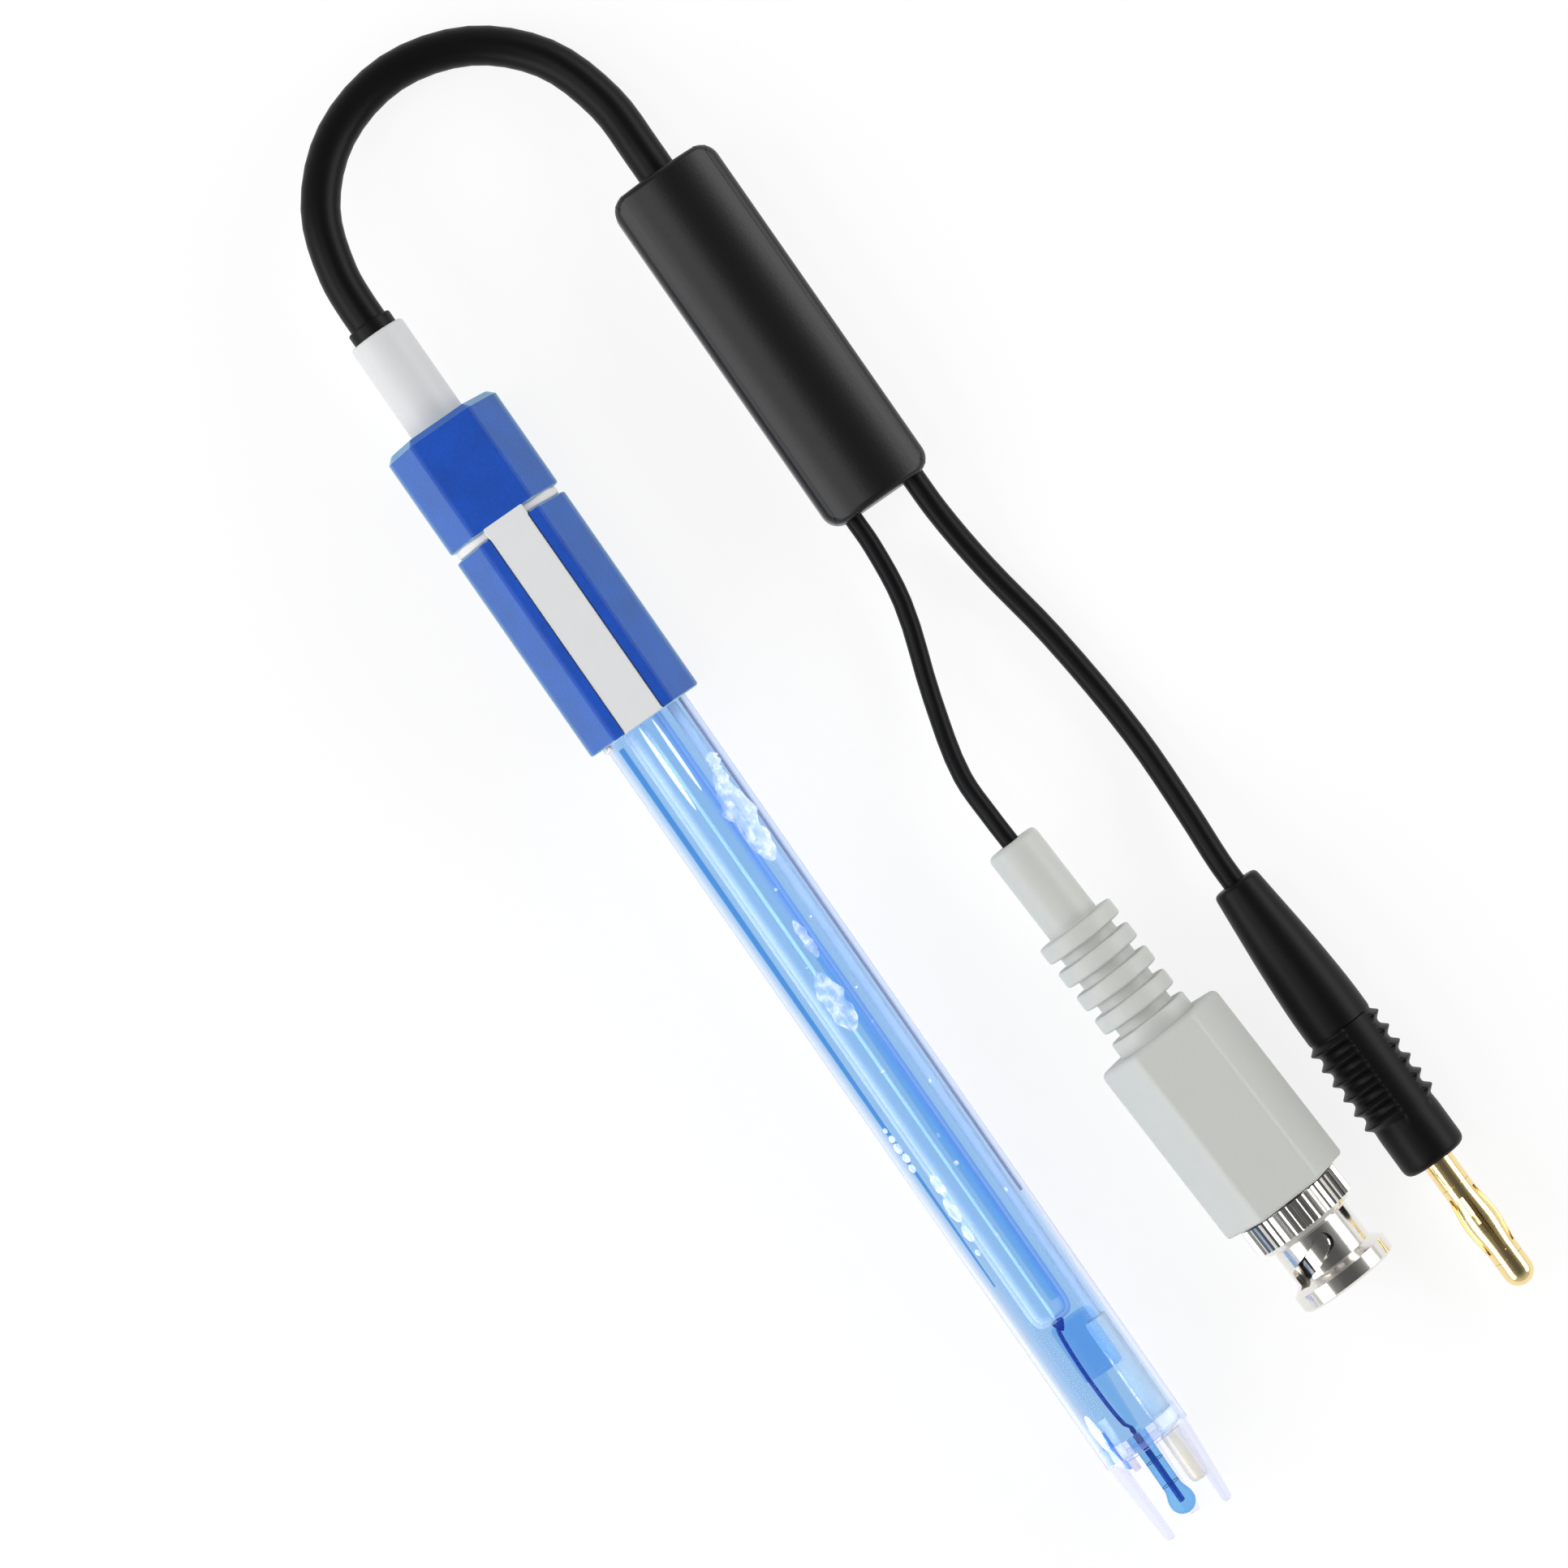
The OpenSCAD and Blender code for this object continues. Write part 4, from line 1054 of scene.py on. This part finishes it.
nickel = plated("bright_nickel", (0.8, 0.78, 0.74), 0.14)
steel = plated("spring_steel", (0.55, 0.55, 0.55), 0.3)
gold = plated("gold_plate", (0.93, 0.74, 0.36), 0.16)
ptfe = moulded("ptfe", (0.8, 0.8, 0.78), 0.4, grain=900, blotch=300, swing=0.03, bump=0.05)
silicone = moulded("silicone", (0.4, 0.08, 0.04), 0.5, grain=900, blotch=300, swing=0.05, bump=0.1)
copper = plated("tinned_copper", (0.8, 0.45, 0.25), 0.3)
refinish(nickel, "crimp_ferrule", "bnc_body", "coupling_nut")
refinish(gold, "centre_pin", "banana_pin", "lantern_spring")
refinish(steel, "spring_washer", "retaining_ring")
refinish(ptfe, "insulator")
refinish(silicone, "gasket")
refinish(copper, "wire_splices")


# The banana plug's boot is moulded black rubber, tapered to the lead, with pointed ribs for the fingers
# round its thick end. A plain panel breaks the ribs on one side.
banana_len = 42.5
banana_end = 61.5
small_r = 3.1
big_r = 4.5
rib_r = 5.2
rib_at = 23.2
rib_count = 6
rib_pitch = 2.25
banana = place_of("banana_plug", banana_end)
banana_line = [
    (lead_d / MM / 2, 3), (lead_d / MM / 2, 0, 0.2), (small_r, 0, 0.8), (big_r - 0.4, 11, 3),
    (big_r, 18, 3), (big_r, rib_at - 1.2, 0.4),
]
for i in range(rib_count):
    z = rib_at + i * rib_pitch
    banana_line += [(big_r - 0.2, z - 0.8, 0.3), (rib_r, z, 0.22), (big_r - 0.2, z + 0.8, 0.3)]
banana_line += [
    (big_r - 0.1, rib_at + rib_count * rib_pitch, 0.4), (big_r - 0.1, banana_len, 1.3),
    (2, banana_len, 0.2), (2, 30),
]
ribbed = spun(banana_line)
panel_turn = math.radians(155)
panel_half = math.radians(27)
panel_r = big_r + 0.15
for vert in ribbed.verts:
    out = math.hypot(vert.co.x, vert.co.y) / MM
    on_ribs = rib_at - 1 < vert.co.z / MM < rib_at + 5.6 * rib_pitch and out > big_r - 0.5
    if on_ribs and abs(turn_from(vert.co, panel_turn)) < panel_half:
        vert.co.x *= panel_r / out
        vert.co.y *= panel_r / out
ribbed = add_mesh("banana_grip", ribbed, banana, rubber, "probe")
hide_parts("banana_boot")


# The bench is a pale matt sheet that keeps a soft shadow, and glass and metal see it as white. Two long
# softboxes stand at the sides of the electrode and a large one hangs above.
bench_reach = 3
camera_glow = 0.86
floor_mesh = bmesh.new()
bmesh.ops.create_grid(floor_mesh, x_segments=1, y_segments=1, size=bench_reach)
sheet = bpy.data.meshes.new("bench")
floor_mesh.to_mesh(sheet)
floor_mesh.free()
bench = bpy.data.objects.new("bench", sheet)
bpy.context.collection.objects.link(bench)
paper = bpy.data.materials.new("pale_sheet")
paper.use_nodes = True
tree = paper.node_tree
surface = tree.nodes["Principled BSDF"]
surface.inputs["Base Color"].default_value = (0.9, 0.9, 0.9, 1)
surface.inputs["Roughness"].default_value = 0.9
surface.inputs["Specular IOR Level"].default_value = 0
glow = tree.nodes.new("ShaderNodeEmission")
glow.inputs["Strength"].default_value = 1
path = tree.nodes.new("ShaderNodeLightPath")
seen = tree.nodes.new("ShaderNodeMath")
seen.operation = "MAXIMUM"
tree.links.new(path.outputs["Is Glossy Ray"], seen.inputs[0])
tree.links.new(path.outputs["Is Transmission Ray"], seen.inputs[1])
part = tree.nodes.new("ShaderNodeMath")
part.operation = "MULTIPLY_ADD"
part.inputs[1].default_value = camera_glow
tree.links.new(path.outputs["Is Camera Ray"], part.inputs[0])
tree.links.new(seen.outputs[0], part.inputs[2])
mix = tree.nodes.new("ShaderNodeMixShader")
tree.links.new(part.outputs[0], mix.inputs["Fac"])
tree.links.new(surface.outputs[0], mix.inputs[1])
tree.links.new(glow.outputs[0], mix.inputs[2])
tree.links.new(mix.outputs[0], tree.nodes["Material Output"].inputs["Surface"])
sheet.materials.append(paper)


def softbox(name, place, size, watts):
    """A softbox that faces the origin."""
    light = bpy.data.lights.new(name, "AREA")
    light.shape = "RECTANGLE"
    light.size, light.size_y = size
    light.energy = watts
    lamp = bpy.data.objects.new(name, light)
    bpy.context.collection.objects.link(lamp)
    lamp.location = place
    lamp.rotation_euler = (Vector() - Vector(place)).to_track_quat("-Z", "Y").to_euler()


softbox("left_box", (0, -0.75, 0.42), (1.4, 0.5), 8.5)
softbox("right_box", (0, 0.8, 0.38), (1.4, 0.4), 7.4)
softbox("top_box", (-0.3, -0.5, 1.2), (0.7, 0.5), 3.8)
world = bpy.data.worlds.new("studio")
bpy.context.scene.world = world
world.use_nodes = True
sky = world.node_tree
backdrop = sky.nodes["Background"]
rays = sky.nodes.new("ShaderNodeLightPath")
seen = sky.nodes.new("ShaderNodeMath")
seen.operation = "MAXIMUM"
sky.links.new(rays.outputs["Is Camera Ray"], seen.inputs[0])
sky.links.new(rays.outputs["Is Transmission Ray"], seen.inputs[1])
heading = sky.nodes.new("ShaderNodeTexCoord")
split = sky.nodes.new("ShaderNodeSeparateXYZ")
sky.links.new(heading.outputs["Generated"], split.inputs[0])
fall = sky.nodes.new("ShaderNodeMapRange")
fall.inputs["From Min"].default_value = 0.3
fall.inputs["From Max"].default_value = 0.95
fall.inputs["To Min"].default_value = 0.6
fall.inputs["To Max"].default_value = 0.1
sky.links.new(split.outputs["Z"], fall.inputs["Value"])
level = sky.nodes.new("ShaderNodeMath")
level.operation = "MAXIMUM"
sky.links.new(seen.outputs[0], level.inputs[0])
sky.links.new(fall.outputs[0], level.inputs[1])
sky.links.new(level.outputs[0], backdrop.inputs["Strength"])
backdrop.inputs["Color"].default_value = (1, 1, 1, 1)

bpy.context.scene.view_settings.view_transform = "Standard"
bpy.context.view_layer.update()
